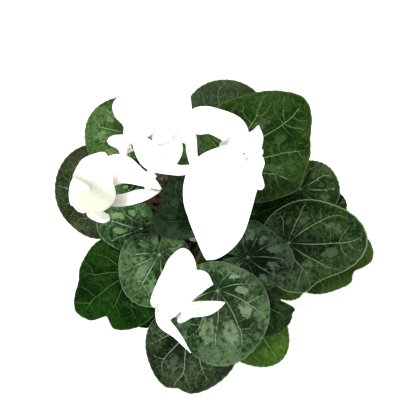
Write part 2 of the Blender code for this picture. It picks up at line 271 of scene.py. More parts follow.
# %% Making a piece
def add_piece(name, points, faces, materials, slot, stands_for=(), **fields):
    """A smooth mesh that rides with the plant and carries named numbers at its points."""
    mesh = bpy.data.meshes.new(name)
    mesh.from_pydata([tuple(point) for point in points], [], faces)
    for field, values in fields.items():
        stored = mesh.attributes.new(field, "FLOAT", "POINT")
        stored.data.foreach_set("value", np.asarray(values, dtype=float))
    mesh.update()
    mesh.shade_smooth()
    piece = bpy.data.objects.new(name, mesh)
    for material in materials:
        piece.data.materials.append(material)
    bpy.context.scene.collection.objects.link(piece)
    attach(piece, "root")
    if stands_for:
        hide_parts(*stands_for)
    return piece


# %% [markdown]
# ## Grids, walls and curves
# Leaves, petals and stalks are all grids of points that have been bent, so one function makes the faces of
# any grid. A sheet without thickness would look wrong at its edge, so a Solidify modifier gives it a second
# face and a rim. Curves are cubic: two ends, and two knots that the curve is drawn towards.

# %% Grids, walls and curves
def grid_faces(rows, columns, closed=False, first=0):
    """Faces between the points of a grid. A closed grid joins its last column to its first."""
    faces = []
    for row in range(rows - 1):
        for column in range(columns if closed else columns - 1):
            here = first + row * columns + column
            beside = first + row * columns + (column + 1) % columns
            faces.append((here, beside, beside + columns, here + columns))
    return faces


def thicken(piece, thickness, under=0):
    """Gives a sheet a second face below it, with the material of slot under."""
    wall = piece.modifiers.new("thickness", "SOLIDIFY")
    wall.thickness = thickness
    wall.offset = -1
    wall.material_offset = under
    return wall


def bezier(knots, step):
    """A point on the cubic curve with these four knots."""
    a, b, c, d = knots
    back = 1 - step
    return back**3 * a + 3 * back * back * step * b + 3 * back * step * step * c + step**3 * d


print("faces in a grid of 3 by 4 points:", len(grid_faces(3, 4)))

# %% [markdown]
# ## Where the leaves are
# Each blade is a sheet about the point where its stalk meets it. It is described as a gardener might: `at` is
# where that point is, `heading` which way the tip points, and `radii` how far the rim is in eight directions,
# from the tip round to the left. `slope` and `dome` are how the sheet leans and how far its rim falls, and
# `wave` is the height, number and start of the waves along the rim. `dents` are bites in the outline, or
# swellings where the depth is negative. `sinus` and `gape` turn and widen the notch at the stalk. `root` is
# the stalk's bearing and distance on the tuber, and `silver` is how marbled the leaf is. Sizes are in
# millimetres and degrees.

# %% The leaf table
LEAVES = {
    "back": dict(
        at=(11, 83, 140), heading=95, radii=(39, 35, 25, 21, 22, 23, 38, 41), slope=(-0.05, 0.0), dome=5,
        wave=(1.5, 3, 40), root=(70, 13), silver=0.25,
    ),
    "back_right": dict(
        at=(22, 56, 158), heading=40, radii=(71, 50, 40, 28, 26, 28, 41, 55), slope=(-0.10, 0.02), dome=5,
        wave=(2.0, 3, 200), dents=((-22, 4.5, 12), (3, -2.5, 9), (-65, -4.5, 12)), root=(75, 8.5), silver=0.4,
    ),
    "right_small": dict(
        at=(73, 34, 139), heading=30, radii=(31, 24, 20, 15, 14, 15, 24, 33), slope=(-0.05, 0.0), dome=3,
        wave=(1.2, 3, 0), root=(25, 13), silver=0.3,
    ),
    "right": dict(
        at=(62, -8, 153), heading=1, radii=(64, 44, 30, 24, 22, 26, 38, 41), slope=(-0.10, -0.02), dome=5,
        wave=(2.0, 3, 90), dents=((-71, -2.5, 10),), root=(10, 8.5), silver=0.6,
    ),
    "right_under": dict(
        at=(79, -19, 128), heading=-2, radii=(58, 41, 32, 21, 20, 21, 30, 40), slope=(-0.08, 0.0), dome=4,
        wave=(2.0, 4, 30), dents=((-17, 9, 9),), root=(-15, 13), silver=0.2,
    ),
    "middle_right": dict(
        at=(30, -18, 163), heading=-3, radii=(36, 27, 28, 23, 19, 20, 25, 31), slope=(-0.03, 0.0), dome=4,
        wave=(1.0, 3, 10), root=(-35, 8.5), silver=0.85,
    ),
    "front_right": dict(
        at=(37, -54, 143), heading=-30, radii=(34, 23, 20, 16, 15, 16, 26, 31), slope=(-0.12, 0.05), dome=3,
        wave=(1.0, 3, 160), dents=((29, 6, 6), (16, -3, 4)), root=(-42, 13), silver=0.1,
    ),
    "front_low": dict(
        at=(36, -76, 128), heading=-52, radii=(39, 30, 24, 17, 15, 17, 28, 34), slope=(-0.05, 0.0), dome=4,
        wave=(1.2, 4, 80), root=(-72, 13), silver=0.15,
    ),
    "front": dict(
        at=(7, -43, 165), heading=-88, radii=(60, 50, 36, 24, 22, 26, 39, 46), slope=(-0.08, 0.0), dome=6,
        wave=(1.5, 4, 20), root=(-82, 8.5), sinus=248, gape=17, silver=1.0,
    ),
    "front_left": dict(
        at=(-16, -80, 139), heading=-100, radii=(52, 49, 41, 26, 24, 25, 31, 40), slope=(-0.10, 0.0), dome=5,
        wave=(1.5, 4, 120), dents=((0, 4, 8),), root=(-110, 13), silver=0.35,
    ),
    "left_low": dict(
        at=(-63, -33, 142), heading=-149, radii=(51, 48, 39, 26, 24, 24, 34, 39), slope=(-0.10, 0.0), dome=5,
        wave=(2.0, 4, 60), dents=((31, 10, 8), (-20, 4, 12), (5, -2.5, 8)), root=(-150, 13), silver=0.12,
    ),
    "middle_left": dict(
        at=(-37, -16, 161), heading=-117, radii=(43, 38, 28, 22, 18, 16, 26, 33), slope=(-0.06, 0.0), dome=4,
        wave=(1.0, 3, 250), sinus=205, root=(-132, 8.5), silver=0.8,
    ),
    "left_small": dict(
        at=(-51, 3, 154), heading=170, radii=(36, 26, 17, 13, 11, 11, 19, 24), slope=(-0.06, 0.0), dome=3,
        wave=(1.5, 4, 0), root=(200, 8.5), silver=0.7,
    ),
    "left": dict(
        at=(-84, 34, 131), heading=178, radii=(42, 41, 40, 24, 22, 24, 36, 42), slope=(-0.08, 0.0), dome=5,
        wave=(1.2, 3, 45), root=(150, 13), silver=0.15,
    ),
    "back_left": dict(
        at=(-61, 77, 145), heading=163, radii=(37, 36, 24, 18, 17, 20, 27, 33), slope=(-0.08, 0.0), dome=4,
        wave=(1.2, 4, 100), root=(118, 13), silver=0.5,
    ),
    "middle": dict(
        at=(-12, 9, 167), heading=148, radii=(28, 29, 15, 12, 11, 12, 24, 37), slope=(-0.05, 0.0), dome=3,
        wave=(1.0, 3, 0), root=(128, 8.5), silver=0.25,
    ),
}
print("blades with a solid:", len(LEAVES))

# %% [markdown]
# ## Lower leaves
# A full plant has a second layer of leaves, and without it there would be holes to the floor between the big
# ones. These show only in patches, so they are smaller and plainer and have no solid of their own. They are
# coloured like one of their neighbours, and `tone` says which. One young leaf at the crown still has its
# brown flush.

# %% The lower leaves
LOWER_LEAVES = {
    "under_back": dict(
        at=(-2, 52, 150), heading=80, radii=(28, 18, 14, 12, 12, 14, 22, 28), slope=(-0.02, 0.0), dome=2,
        wave=(1.0, 3, 0), root=(95, 10), tone="back_right", silver=0.1,
    ),
    "under_back_left": dict(
        at=(-22, 52, 139), heading=115, radii=(22, 24, 20, 12, 11, 12, 16, 18), slope=(-0.02, 0.0), dome=2,
        wave=(1.0, 3, 60), root=(108, 11), tone="back_left", silver=0.4,
    ),
    "under_left": dict(
        at=(-56, 44, 137), heading=170, radii=(26, 22, 18, 10, 8, 9, 14, 20), slope=(-0.02, 0.0), dome=2,
        wave=(1.0, 3, 90), root=(140, 11), tone="left_small", silver=0.5,
    ),
    "under_right": dict(
        at=(36, 14, 140), heading=20, radii=(41, 33, 22, 14, 12, 14, 22, 30), slope=(-0.05, 0.0), dome=3,
        wave=(1.2, 3, 30), root=(30, 10), tone="left_low", silver=0.3,
    ),
    "under_right_low": dict(
        at=(56, -36, 120), heading=-40, radii=(28, 21, 15, 11, 10, 11, 15, 20), slope=(-0.05, 0.0), dome=2,
        wave=(1.0, 3, 80), root=(-30, 13), tone="front_low", silver=0.1,
    ),
    "under_right_far": dict(
        at=(86, 16, 130), heading=15, radii=(28, 22, 18, 12, 11, 12, 18, 22), slope=(-0.04, 0.0), dome=2,
        wave=(1.0, 3, 10), root=(15, 13), tone="front_right", silver=0.1,
    ),
    "under_left_low": dict(
        at=(-44, -50, 131), heading=-130, radii=(31, 27, 20, 14, 12, 14, 20, 26), slope=(-0.04, 0.0), dome=2,
        wave=(1.0, 3, 10), root=(-135, 13), tone="left_low", silver=0.3,
    ),
    "under_front": dict(
        at=(8, -62, 134), heading=-80, radii=(30, 27, 22, 14, 12, 14, 22, 26), slope=(-0.04, 0.0), dome=2,
        wave=(1.0, 3, 10), root=(-85, 12), tone="front_right", silver=0.1,
    ),
    "under_middle": dict(
        at=(5, -14, 145), heading=-90, radii=(21, 19, 14, 9, 8, 9, 14, 19), slope=(-0.04, 0.0), dome=2,
        wave=(1.0, 3, 50), root=(-60, 9), tone="left_low", silver=0.2,
    ),
    "young": dict(
        at=(-31, 36, 149), heading=150, radii=(12, 11, 9, 6, 5, 6, 9, 11), slope=(-0.02, 0.0), dome=2,
        wave=(1.5, 3, 0), root=(125, 10), tone="young", silver=0.8,
    ),
}
print("lower blades:", len(LOWER_LEAVES))

# %% [markdown]
# ## The outline
# The rim could be drawn with a curve for each leaf, but eight distances joined by a smooth curve round the
# circle are enough for a heart shape and easy to change. A narrow notch, the sinus, runs in to the stalk, and
# the rim gets the small blunt teeth of a real blade. Numpy works on all the points of a blade at once.

# %% Outline of a blade
SINUS_DEPTH = 0.74
TEETH = 46
TOOTH_DEPTH = 0.35


def round_the_circle(values, bearings):
    """Smooth values at these bearings, through values evenly spaced round the circle."""
    values = np.asarray(values, dtype=float)
    place = (bearings % TURN) / TURN * len(values)
    first = np.floor(place).astype(int)
    step = place - first
    before, here, after, beyond = (values[(first + shift) % len(values)] for shift in (-1, 0, 1, 2))
    slope = after - before
    bend = 2 * before - 5 * here + 4 * after - beyond
    twist = 3 * (here - after) + beyond - before
    return here + 0.5 * step * (slope + step * (bend + step * twist))


def bite(bearings, where, width):
    """1 at a bearing and 0 away from it."""
    off = (bearings - where + pi) % TURN - pi
    return np.exp(-((off / width) ** 2))


def margin(leaf, bearings, toothed=True):
    """Distance from the stalk to the rim, in millimetres."""
    radius = round_the_circle(leaf["radii"], bearings)
    radius *= 1 - SINUS_DEPTH * bite(bearings, radians(leaf.get("sinus", 180)), radians(leaf.get("gape", 6)))
    for where, depth, width in leaf.get("dents", ()):
        radius -= depth * bite(bearings, radians(where), radians(width))
    if toothed:
        radius += TOOTH_DEPTH * (np.abs(np.sin(bearings * TEETH / 2)) - 0.5)
    return radius


quarters = np.radians([0, 90, 180, 270])
print("rim of the leaf at the back right, mm:", np.round(margin(LEAVES["back_right"], quarters), 1))

# %% [markdown]
# ## The sheet
# A real blade is never flat. It leans away from the plant, its rim falls under its own weight, and the rim
# waves slowly up and down. All three are sums of simple terms, so the sheet's height is worked out and not
# sculpted. The last function turns the blade to its heading and moves it to its place.

# %% Height and place of a blade
def sheet_height(leaf, along, across, bearings, shares):
    """Rise of the blade's upper face from the stalk's top, in millimetres."""
    reach = np.hypot(along, across) / max(leaf["radii"])
    height, count, phase = leaf["wave"]
    rise = leaf["slope"][0] * along + leaf["slope"][1] * across - leaf["dome"] * reach * reach
    return rise + height * shares**3 * np.sin(count * bearings + radians(phase))


def leaf_to_world(leaf, along, across, rise):
    """Turns and moves points of a blade to their place on the plant, in metres."""
    heading = radians(leaf["heading"])
    x, y, z = leaf["at"]
    turned_x = x + along * cos(heading) - across * sin(heading)
    turned_y = y + along * sin(heading) + across * cos(heading)
    return MM * np.stack([turned_x, turned_y, z + rise], axis=-1)


print("the rim falls by up to", max(leaf["dome"] for leaf in LEAVES.values()), "mm")

# %% [markdown]
# ## Main veins
# A cyclamen's main veins all start at the stalk, fan out and bend towards the tip. Nine of them are laid down
# first. Then points are scattered over the blade. They stand for patches of leaf that still need a vein, and
# the finer veins will grow towards them.

# %% Main veins and scattered points
MAIN_VEINS = (0, 34, -34, 70, -70, 112, -112, 150, -150)
VEIN_STEP = 1.3
CATCH = 2.4
SPACE_PER_POINT = 9.0


def main_vein(leaf, bearing, veins, random):
    """Adds one main vein to the list of (place, parent) pairs."""
    bend = 0.34 * np.sign(bearing) * min(abs(bearing) / radians(90), 1)
    length = 0.66 * float(margin(leaf, np.array([bearing]), toothed=False)[0])
    sway = random.uniform(-0.05, 0.05)
    parent = 0
    for index in range(1, ceil(length / VEIN_STEP)):
        share = index * VEIN_STEP / length
        angle = bearing + bend * (0.5 - share) + sway * sin(5 * share)
        veins.append((np.array([cos(angle), sin(angle)]) * index * VEIN_STEP, parent))
        parent = len(veins) - 1


def scatter_points(leaf, random):
    """Points all over the blade, kept a little inside its rim."""
    reach = max(leaf["radii"])
    count = int(pi * reach * reach / SPACE_PER_POINT)
    points = random.uniform(-reach, reach, (count, 2))
    bearings = np.arctan2(points[:, 1], points[:, 0])
    return points[np.hypot(points[:, 0], points[:, 1]) < 0.97 * margin(leaf, bearings, toothed=False)]


print("patches to be fed on the front leaf:", len(scatter_points(LEAVES["front"], np.random.default_rng(8))))

# %% [markdown]
# ## Finer veins
# Finer veins fork from the main ones, and drawing them by hand would never look grown. So they are grown: in
# each round, a vein that is the nearest to some points grows one step towards those, and a point that a vein
# reaches is used up. What comes out branches like the real thing. Each vein also counts how many others it
# feeds.

# %% Grow the veins
def grow_veins(leaf, seed):
    """Vein points as arrays: place, parent, number of points fed, and whether it is a main vein."""
    random = np.random.default_rng(seed)
    veins = [(np.zeros(2), -1)]
    for bearing in MAIN_VEINS:
        main_vein(leaf, radians(bearing + random.uniform(-4, 4)), veins, random)
    main_count = len(veins)
    goals = scatter_points(leaf, random)
    for _ in range(24):
        places = np.array([place for place, parent in veins])
        gaps = np.linalg.norm(goals[:, None] - places[None], axis=2)
        nearest = gaps.argmin(axis=1)
        free = gaps[np.arange(len(goals)), nearest] > CATCH
        goals, nearest = goals[free], nearest[free]
        if not len(goals):
            break
        for tip in np.unique(nearest):
            pull = goals[nearest == tip] - places[tip]
            pull = (pull / np.linalg.norm(pull, axis=1)[:, None]).mean(axis=0)
            parent = veins[tip][1]
            onward = places[tip] - places[parent] if parent >= 0 else places[tip]
            way = pull + 0.5 * onward / max(np.linalg.norm(onward), 1e-6)
            veins.append((places[tip] + VEIN_STEP * way / max(np.linalg.norm(way), 1e-6), tip))
    places = np.array([place for place, parent in veins])
    parents = np.array([parent for place, parent in veins])
    fed = np.ones(len(veins))
    for index in range(len(veins) - 1, 0, -1):
        fed[parents[index]] += fed[index]
    return places, parents, fed, np.arange(len(veins)) < main_count


print("vein points of the young leaf:", len(grow_veins(LOWER_LEAVES["young"], 109)[0]))

# %% [markdown]
# ## From veins to numbers
# The veins have to reach the material. A picture could be painted, but a number at each point of the mesh is
# simpler and stays sharp: how strongly a vein shows there. The width and strength of a vein follow from how
# many others it feeds, and the main ones fade towards the stalk. A tree of sample points makes the nearest
# vein quick to find.

# %% Vein strength at each point
def vein_fields(leaf, seed, along, across):
    """How strongly a vein shows at each point, from 0 to 1, and how many millimetres off a main vein is."""
    places, parents, fed, is_main = grow_veins(leaf, seed)
    widths = np.clip(0.2 * fed**0.18, 0.28, 0.42)
    strengths = np.clip(0.45 + 0.09 * np.log(fed), 0.48, 0.85)
    strengths *= np.clip(np.hypot(places[:, 0], places[:, 1]) / 14, 0.45, 1)
    every, main = kdtree.KDTree(4 * len(places)), kdtree.KDTree(4 * len(places))
    sample_width, sample_strength = [], []
    for index in range(1, len(places)):
        for share in (0, 0.25, 0.5, 0.75):
            spot = places[index] * (1 - share) + places[parents[index]] * share
            every.insert((*spot, 0), len(sample_width))
            sample_width.append(widths[index])
            sample_strength.append(strengths[index])
            if is_main[index]:
                main.insert((*spot, 0), 0)
    every.balance()
    main.balance()
    veins, lanes = np.zeros(len(along)), np.zeros(len(along))
    for index, spot in enumerate(zip(along.tolist(), across.tolist())):
        _, sample, gap = every.find((*spot, 0))
        veins[index] = sample_strength[sample] * exp(-((gap / sample_width[sample]) ** 2))
        lanes[index] = main.find((*spot, 0))[2]
    return veins, lanes


strength = vein_fields(LOWER_LEAVES["young"], 109, np.array([5.0]), np.array([0.0]))[0]
print("vein strength 5 mm along the young leaf:", round(float(strength[0]), 2))

# %% [markdown]
# ## Silver patches
# The silver of the leaf lies in a ring halfway out, in one patch between each two main veins. Each patch is
# an oval in bearing and share of the radius, so it follows the outline of its own leaf. Its edge is made
# ragged later, in the material.

# %% Silver patches
def patch_field(seed, bearings, shares):
    """How far inside a silver patch each point is. A patch lies between two neighbouring main veins."""
    random = np.random.default_rng(1000 + seed)
    inside = np.full(len(bearings), -2.0)
    order = sorted(MAIN_VEINS)
    for first, second in zip(order, order[1:]):
        middle = radians((first + second) / 2 + random.uniform(-4, 4))
        spread = radians(second - first) * random.uniform(0.22, 0.36)
        centre, length = random.uniform(0.5, 0.66), random.uniform(0.11, 0.19)
        off = (bearings - middle + pi) % TURN - pi
        inside = np.maximum(inside, 1 - np.hypot(off / spread, (shares - centre) / length))
    return inside


fullest = patch_field(0, np.linspace(-3, 3, 400), np.full(400, 0.58)).max()
print("fullest place in a patch:", round(float(fullest), 2))

# %% [markdown]
# ## The tones
# Leaves differ in age and light, so each has its own four colours: deep shade, lit green, silver and pale
# vein. The greens are dark, because the light is strong. A few leaves also have a pale rim, which is where
# the light shines through the thin edge.

# %% Tones of the leaves
TONES = {
    "back": ((0.009, 0.019, 0.004), (0.014, 0.028, 0.008), (0.031, 0.052, 0.022), (0.089, 0.130, 0.069)),
    "back_right": ((0.001, 0.011, 0.000), (0.011, 0.028, 0.002), (0.032, 0.062, 0.017), (0.085, 0.137, 0.052)),
    "right_small": ((0.003, 0.012, 0.000), (0.015, 0.032, 0.007), (0.044, 0.074, 0.029), (0.143, 0.188, 0.121)),
    "right": ((0.000, 0.005, 0.000), (0.008, 0.022, 0.003), (0.037, 0.065, 0.025), (0.103, 0.158, 0.069)),
    "right_under": ((0.006, 0.025, 0.001), (0.021, 0.047, 0.004), (0.036, 0.060, 0.018), (0.085, 0.123, 0.048)),
    "middle_right": ((0.000, 0.004, 0.000), (0.009, 0.022, 0.008), (0.056, 0.092, 0.053), (0.100, 0.148, 0.089)),
    "front_right": ((0.000, 0.004, 0.000), (0.004, 0.017, 0.000), (0.021, 0.047, 0.014), (0.079, 0.126, 0.063)),
    "front_low": ((0.009, 0.037, 0.000), (0.027, 0.069, 0.005), (0.061, 0.129, 0.022), (0.146, 0.243, 0.069)),
    "front": ((0.004, 0.015, 0.003), (0.022, 0.048, 0.015), (0.125, 0.192, 0.098), (0.170, 0.240, 0.141)),
    "front_left": ((0.001, 0.006, 0.000), (0.012, 0.025, 0.007), (0.042, 0.062, 0.032), (0.146, 0.185, 0.123)),
    "left_low": ((0.000, 0.007, 0.000), (0.003, 0.022, 0.000), (0.014, 0.044, 0.003), (0.042, 0.089, 0.016)),
    "middle_left": ((0.002, 0.013, 0.000), (0.023, 0.054, 0.014), (0.076, 0.133, 0.057), (0.199, 0.282, 0.167)),
    "left_small": ((0.001, 0.011, 0.000), (0.017, 0.048, 0.009), (0.120, 0.235, 0.086), (0.272, 0.371, 0.231)),
    "left": ((0.004, 0.009, 0.000), (0.015, 0.023, 0.006), (0.042, 0.061, 0.022), (0.146, 0.183, 0.107)),
    "back_left": ((0.007, 0.025, 0.001), (0.029, 0.064, 0.012), (0.086, 0.145, 0.050), (0.146, 0.231, 0.092)),
    "young": ((0.006, 0.004, 0.001), (0.020, 0.015, 0.006), (0.070, 0.080, 0.035), (0.100, 0.115, 0.050)),
    "middle": ((0.000, 0.006, 0.000), (0.013, 0.031, 0.011), (0.030, 0.055, 0.025), (0.042, 0.072, 0.035)),
}

RIMS = {"right": 0.9, "left_low": 0.6, "right_under": 0.5, "right_small": 0.5}
print("tones:", len(TONES))

# %% [markdown]
# ## The leaf's skin
# The marbling is what a cyclamen is grown for, and it is built up in layers as a painter would. First come
# soft clouds from deep to lit green, then a thin silver haze towards the rim, which is pale marbling and painted
# sky sheen together, and the ragged silver patches.
# Spots of painted shade, as in hollows, and a dark band beside each main vein give it depth. Last come a faint
# mesh, the pale veins, the rim, and specks.

# %% Skin of a leaf
def leaf_finish(name, tone, silver_amount):
    shade, lit, silver, pale = TONES[tone]
    finish = Finish(name)
    sheet = finish.unwrapped()
    share, vein, lane, patch = (finish.attribute(field) for field in ("share", "vein", "lane", "patch"))
    cloud = finish.noise(sheet, 38, detail=2) - 0.5
    rags = finish.noise(sheet, 330, detail=4, roughness=0.7) - 0.5
    specks = finish.noise(sheet, 1300, detail=2) - 0.5
    meshes = finish.cells(sheet, 230).step(0.14, 0.02)
    depth = cloud * 4.0 + rags * 3.8 + share.step(0.1, 0.75) * 0.9 + vein * 0.3
    colour = finish.mix(depth.step(0.0, 0.95), shade, lit)
    # A paler band towards the rim: silver marbling together with a painted sheen of the sky.
    haze_and_sheen = share.step(0.4, 0.7) + cloud * 3.5 + rags * 2.5 + (silver_amount - 1) * 0.9
    colour = finish.mix(haze_and_sheen.step(0.4, 1.3) * 0.3, colour, silver)
    marble = patch + rags * 1.8 + cloud * 0.8 + (silver_amount - 1) * 0.35
    colour = finish.mix(marble.step(-0.1, 0.2) * (0.35 + 0.6 * silver_amount), colour, silver)
    # Painted shade: random spots darkened towards the shade tone.
    shade_spots = finish.noise(sheet, 190, detail=3, roughness=0.6)
    colour = finish.mix(shade_spots.step(0.5, 0.64) * 0.75, colour, shade)
    colour = finish.mix(lane.step(2.6, 0.5) * 0.6, colour, shade)
    colour = finish.mix(meshes * (rags + cloud + 0.5).step(0.3, 0.9) * 0.22, colour, pale)
    colour = finish.mix((vein + rags * 0.4).step(0.16, 0.65) * 0.95, colour, pale)
    colour = finish.mix(share.step(0.972, 0.988) * RIMS.get(tone, 0.25), colour, pale)
    colour = finish.mix(specks.step(0.08, 0.3) * 0.2, colour, pale)
    finish.set(Base_Color=colour, Roughness=rags * 0.2 + 0.5, Specular_IOR_Level=0.04)
    net = finish.cells(sheet, 620)
    finish.bump(net.step(0.0, 0.25) * 0.5 + specks * 0.5, 0.00018, 0.6)
    return finish.material


print("leaves with a brighter rim:", list(RIMS))

# %% [markdown]
# ## The underside
# The underside is seen only from low down. It is dull, paler than the top and flushed with purple along the
# veins, which stand out there. It gets a material of its own, which the wall of the sheet puts on its second
# face.

# %% Underside of a leaf
def underside_finish():
    """The underside is dull, paler and flushed with purple along the veins."""
    finish = Finish("leaf_underside")
    sheet = finish.unwrapped()
    vein = finish.attribute("vein")
    cloud = finish.noise(sheet, 60)
    colour = finish.mix(cloud, (0.10, 0.17, 0.07), (0.17, 0.15, 0.09))
    colour = finish.mix(vein.step(0.1, 0.6) * 0.7, colour, (0.26, 0.15, 0.12))
    finish.set(Base_Color=colour, Roughness=cloud * 0.15 + 0.6)
    finish.bump(vein, 0.0004, 0.6)
    return finish.material


underside = underside_finish()
print("nodes in the underside:", len(underside.node_tree.nodes))

# %% [markdown]
# ## A fan of rings
# A blade's points lie on rings about the stalk, like a fan. A square grid would cut the rim into steps. Rings
# follow the outline, and the spokes crowd together at the sinus, where the outline turns most. There are many
# more points than the outline needs, because the veins are as fine as the grid.

# %% Grid of a blade
POINT_GAP = 0.72
MOST_RINGS = 90


def blade_grid(leaf, rings, spokes):
    """Bearings and shares of all the grid points, ring by ring. Spokes crowd together at the sinus."""
    turn = np.linspace(-1, 1, spokes, endpoint=False)
    turn = turn - 0.13 * np.sin(TURN * turn)
    bearings = radians(leaf.get("sinus", 180)) + pi + pi * turn
    shares = np.linspace(0.03, 1, rings) ** 0.85
    return [grid.ravel() for grid in np.meshgrid(bearings, shares)]


print("rings in the largest blade:", MOST_RINGS)

# %% [markdown]
# ## Building a blade
# The veins sink into the upper face, and the cells between them swell. That relief could be bump in the
# material, but real height catches the light at a low angle too. The flat sheet is kept as a UV map in
# metres, so that every pattern in the material has its true size on every leaf.

# %% Make one blade
GROOVE = 0.3
SWELL = 0.9
BLADE_THICKNESS = 0.55 * MM


def make_blade(name, leaf, seed, stands_for=()):
    rings = min(ceil(max(leaf["radii"]) / POINT_GAP), MOST_RINGS)
    spokes = 6 * rings
    bearings, shares = blade_grid(leaf, rings, spokes)
    radius = shares * margin(leaf, bearings)
    along, across = radius * np.cos(bearings), radius * np.sin(bearings)
    veins, lanes = vein_fields(leaf, seed, along, across)
    rise = sheet_height(leaf, along, across, bearings, shares)
    rise += SWELL * (1 - np.exp(-lanes / 4)) * (1 - shares**4) - GROOVE * veins
    patches = patch_field(seed, bearings, shares)
    points = leaf_to_world(leaf, along, across, rise)
    middle = leaf_to_world(leaf, np.zeros(1), np.zeros(1), np.zeros(1))
    faces = grid_faces(rings, spokes, closed=True)
    faces += [(len(points), spoke, (spoke + 1) % spokes) for spoke in range(spokes)]
    faces = [face[::-1] if len(face) == 4 else face for face in faces]
    finish = leaf_finish(f"{name}_skin", leaf.get("tone", name.removeprefix("blade_")), leaf["silver"])
    piece = add_piece(
        name, np.vstack([points, middle]), faces, [finish, underside], "leaf_green", stands_for,
        vein=np.append(veins, 0.7), lane=np.append(lanes, 0), share=np.append(shares, 0),
        patch=np.append(patches, -2),
    )
    sheet = np.vstack([np.stack([along, across], axis=-1), [[0, 0]]]) * MM
    flat = piece.data.uv_layers.new(name="sheet")
    corners = np.zeros(len(piece.data.loops), dtype=int)
    piece.data.loops.foreach_get("vertex_index", corners)
    flat.data.foreach_set("uv", (sheet[corners] + 0.1 * seed).ravel())
    thicken(piece, BLADE_THICKNESS, under=1)
    return piece


print("grooves:", GROOVE, "mm, swellings:", SWELL, "mm")

# %% [markdown]
# ## All the blades
# Each blade of the table takes the place of its solid, and the lower ones are extra. The seed gives each leaf
# its own veins and patches, and they stay the same from run to run.

# %% Build the blades
for seed, (name, leaf) in enumerate(LEAVES.items()):
    make_blade(f"blade_{name}", leaf, seed, (f"leaf_{name}",))
for seed, (name, leaf) in enumerate(LOWER_LEAVES.items()):
    make_blade(f"blade_{name}", leaf, 100 + seed)
blades = [piece for piece in bpy.data.objects if piece.name.startswith("blade_")]
print("blades:", len(blades), "points in the largest:", max(len(piece.data.vertices) for piece in blades))

# %% [markdown]
# ## Tubes
# Stalks, buds and calyxes are all tubes along a path. A curve with a bevel would give a round tube too, but
# building the points here lets the radius change at will and gives each point its share of the length for the
# material. Several tubes can be merged into one piece.

# %% Tube helper
TUBE_SIDES = 12


def tube(points, radii, sides=TUBE_SIDES):
    """Points, faces and the share of the length for a closed tube along a path of Vectors."""
    verts, shares = [], []
    side = Vector((1, 0.2, 0.1))
    for index, (point, radius) in enumerate(zip(points, radii)):
        ahead = (points[min(index + 1, len(points) - 1)] - points[max(index - 1, 0)]).normalized()
        side = (side - side.dot(ahead) * ahead).normalized()
        other = ahead.cross(side)
        for corner in range(sides):
            angle = TURN * corner / sides
            verts.append(point + radius * (cos(angle) * side + sin(angle) * other))
            shares.append(index / (len(points) - 1))
    faces = grid_faces(len(points), sides, closed=True)
    faces += [tuple(range(sides))[::-1], tuple(range(len(verts) - sides, len(verts)))]
    return verts, faces, shares


def merge(parts):
    """Joins several (points, faces, shares) triples into one."""
    verts, faces, shares = [], [], []
    for part_verts, part_faces, part_shares in parts:
        first = len(verts)
        verts += part_verts
        faces += [tuple(first + corner for corner in face) for face in part_faces]
        shares += part_shares
    return verts, faces, shares


print("points in a tube of two rings:", len(tube([Vector((0, 0, 0)), Vector((0, 0, 1))], [1, 1])[0]))

# %% [markdown]
# ## The stalk's skin
# A stalk is red-brown near the crown and greener at the top, with a dull shine and fine streaks. The colour
# follows the share of its length, and blotches of noise keep the change from being an even ramp. The leaf stalks
# are also much darker, with painted shade, deepest near the crown, since they stand in the shade of the leaves.

# %% Skin of a stalk
def stalk_finish(name, low, high):
    finish = Finish(name)
    where, share = finish.place(), finish.attribute("share")
    streaks = finish.noise(where, 900, detail=2)
    blotches = finish.noise(where, 120)
    colour = finish.mix((share + (blotches - 0.5) * 0.6).step(0.2, 0.95), low, high)
    colour = finish.mix(streaks.step(0.35, 0.8) * 0.3, colour, (0.034, 0.020, 0.012))
    finish.set(Base_Color=colour, Roughness=streaks * 0.2 + 0.42, Specular_IOR_Level=0.15)
    finish.bump(streaks, 0.0002, 0.5)
    return finish.material


# Leaf stalks: real red-brown plus painted shade, darker than the flower stalks and darkest near the crown.
shaded_leaf_stalk_skin = stalk_finish("shaded_leaf_stalk_skin", (0.016, 0.007, 0.004), (0.024, 0.021, 0.007))
flower_stalk_skin = stalk_finish("flower_stalk_skin", (0.030, 0.011, 0.007), (0.070, 0.060, 0.028))
print("stalk skins:", shaded_leaf_stalk_skin.name, flower_stalk_skin.name)

# %% [markdown]
# ## Leaf stalks
# A stalk leaves the crown upright and leans out under its blade's weight, so its path is a cubic curve with
# an upright start and a leaning end. The ends are sunk just below the tuber's skin and meet the blade from
# below. Its radius tapers and varies a little, because no stalk is a machined rod.

# %% Leaf stalks
CROWN_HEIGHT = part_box("tuber")[1][2]
TUBER_RADIUS = (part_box("tuber")[1][0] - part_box("tuber")[0][0]) / 2
TUBER_HALF_HEIGHT = (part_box("tuber")[1][2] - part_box("tuber")[0][2]) / 2
STALK_POINTS = 30


def crown_point(root):
    """A place just under the tuber's skin, from a bearing and a distance in millimetres."""
    bearing, distance = radians(root[0]), root[1] * MM
    dome = (1 - (distance / TUBER_RADIUS) ** 2) ** 0.5 * TUBER_HALF_HEIGHT
    height = CROWN_HEIGHT - TUBER_HALF_HEIGHT + dome - 0.5 * MM
    return Vector((distance * cos(bearing), distance * sin(bearing), height))


def leaf_stalk_path(leaf):
    start = crown_point(leaf["root"])
    end = MM * Vector(leaf["at"]) - Vector((0, 0, 0.9 * MM))
    reach = (end - start).length
    outward = Vector((end.x - start.x, end.y - start.y, 0)).normalized()
    lean = (0.62 * outward + 0.78 * Vector((0, 0, 1))).normalized()
    upright = start + Vector((0, 0, 0.34 * reach)) + 0.05 * reach * outward
    knots = (start, upright, end - 0.3 * reach * lean, end)
    return [bezier(knots, index / (STALK_POINTS - 1)) for index in range(STALK_POINTS)]


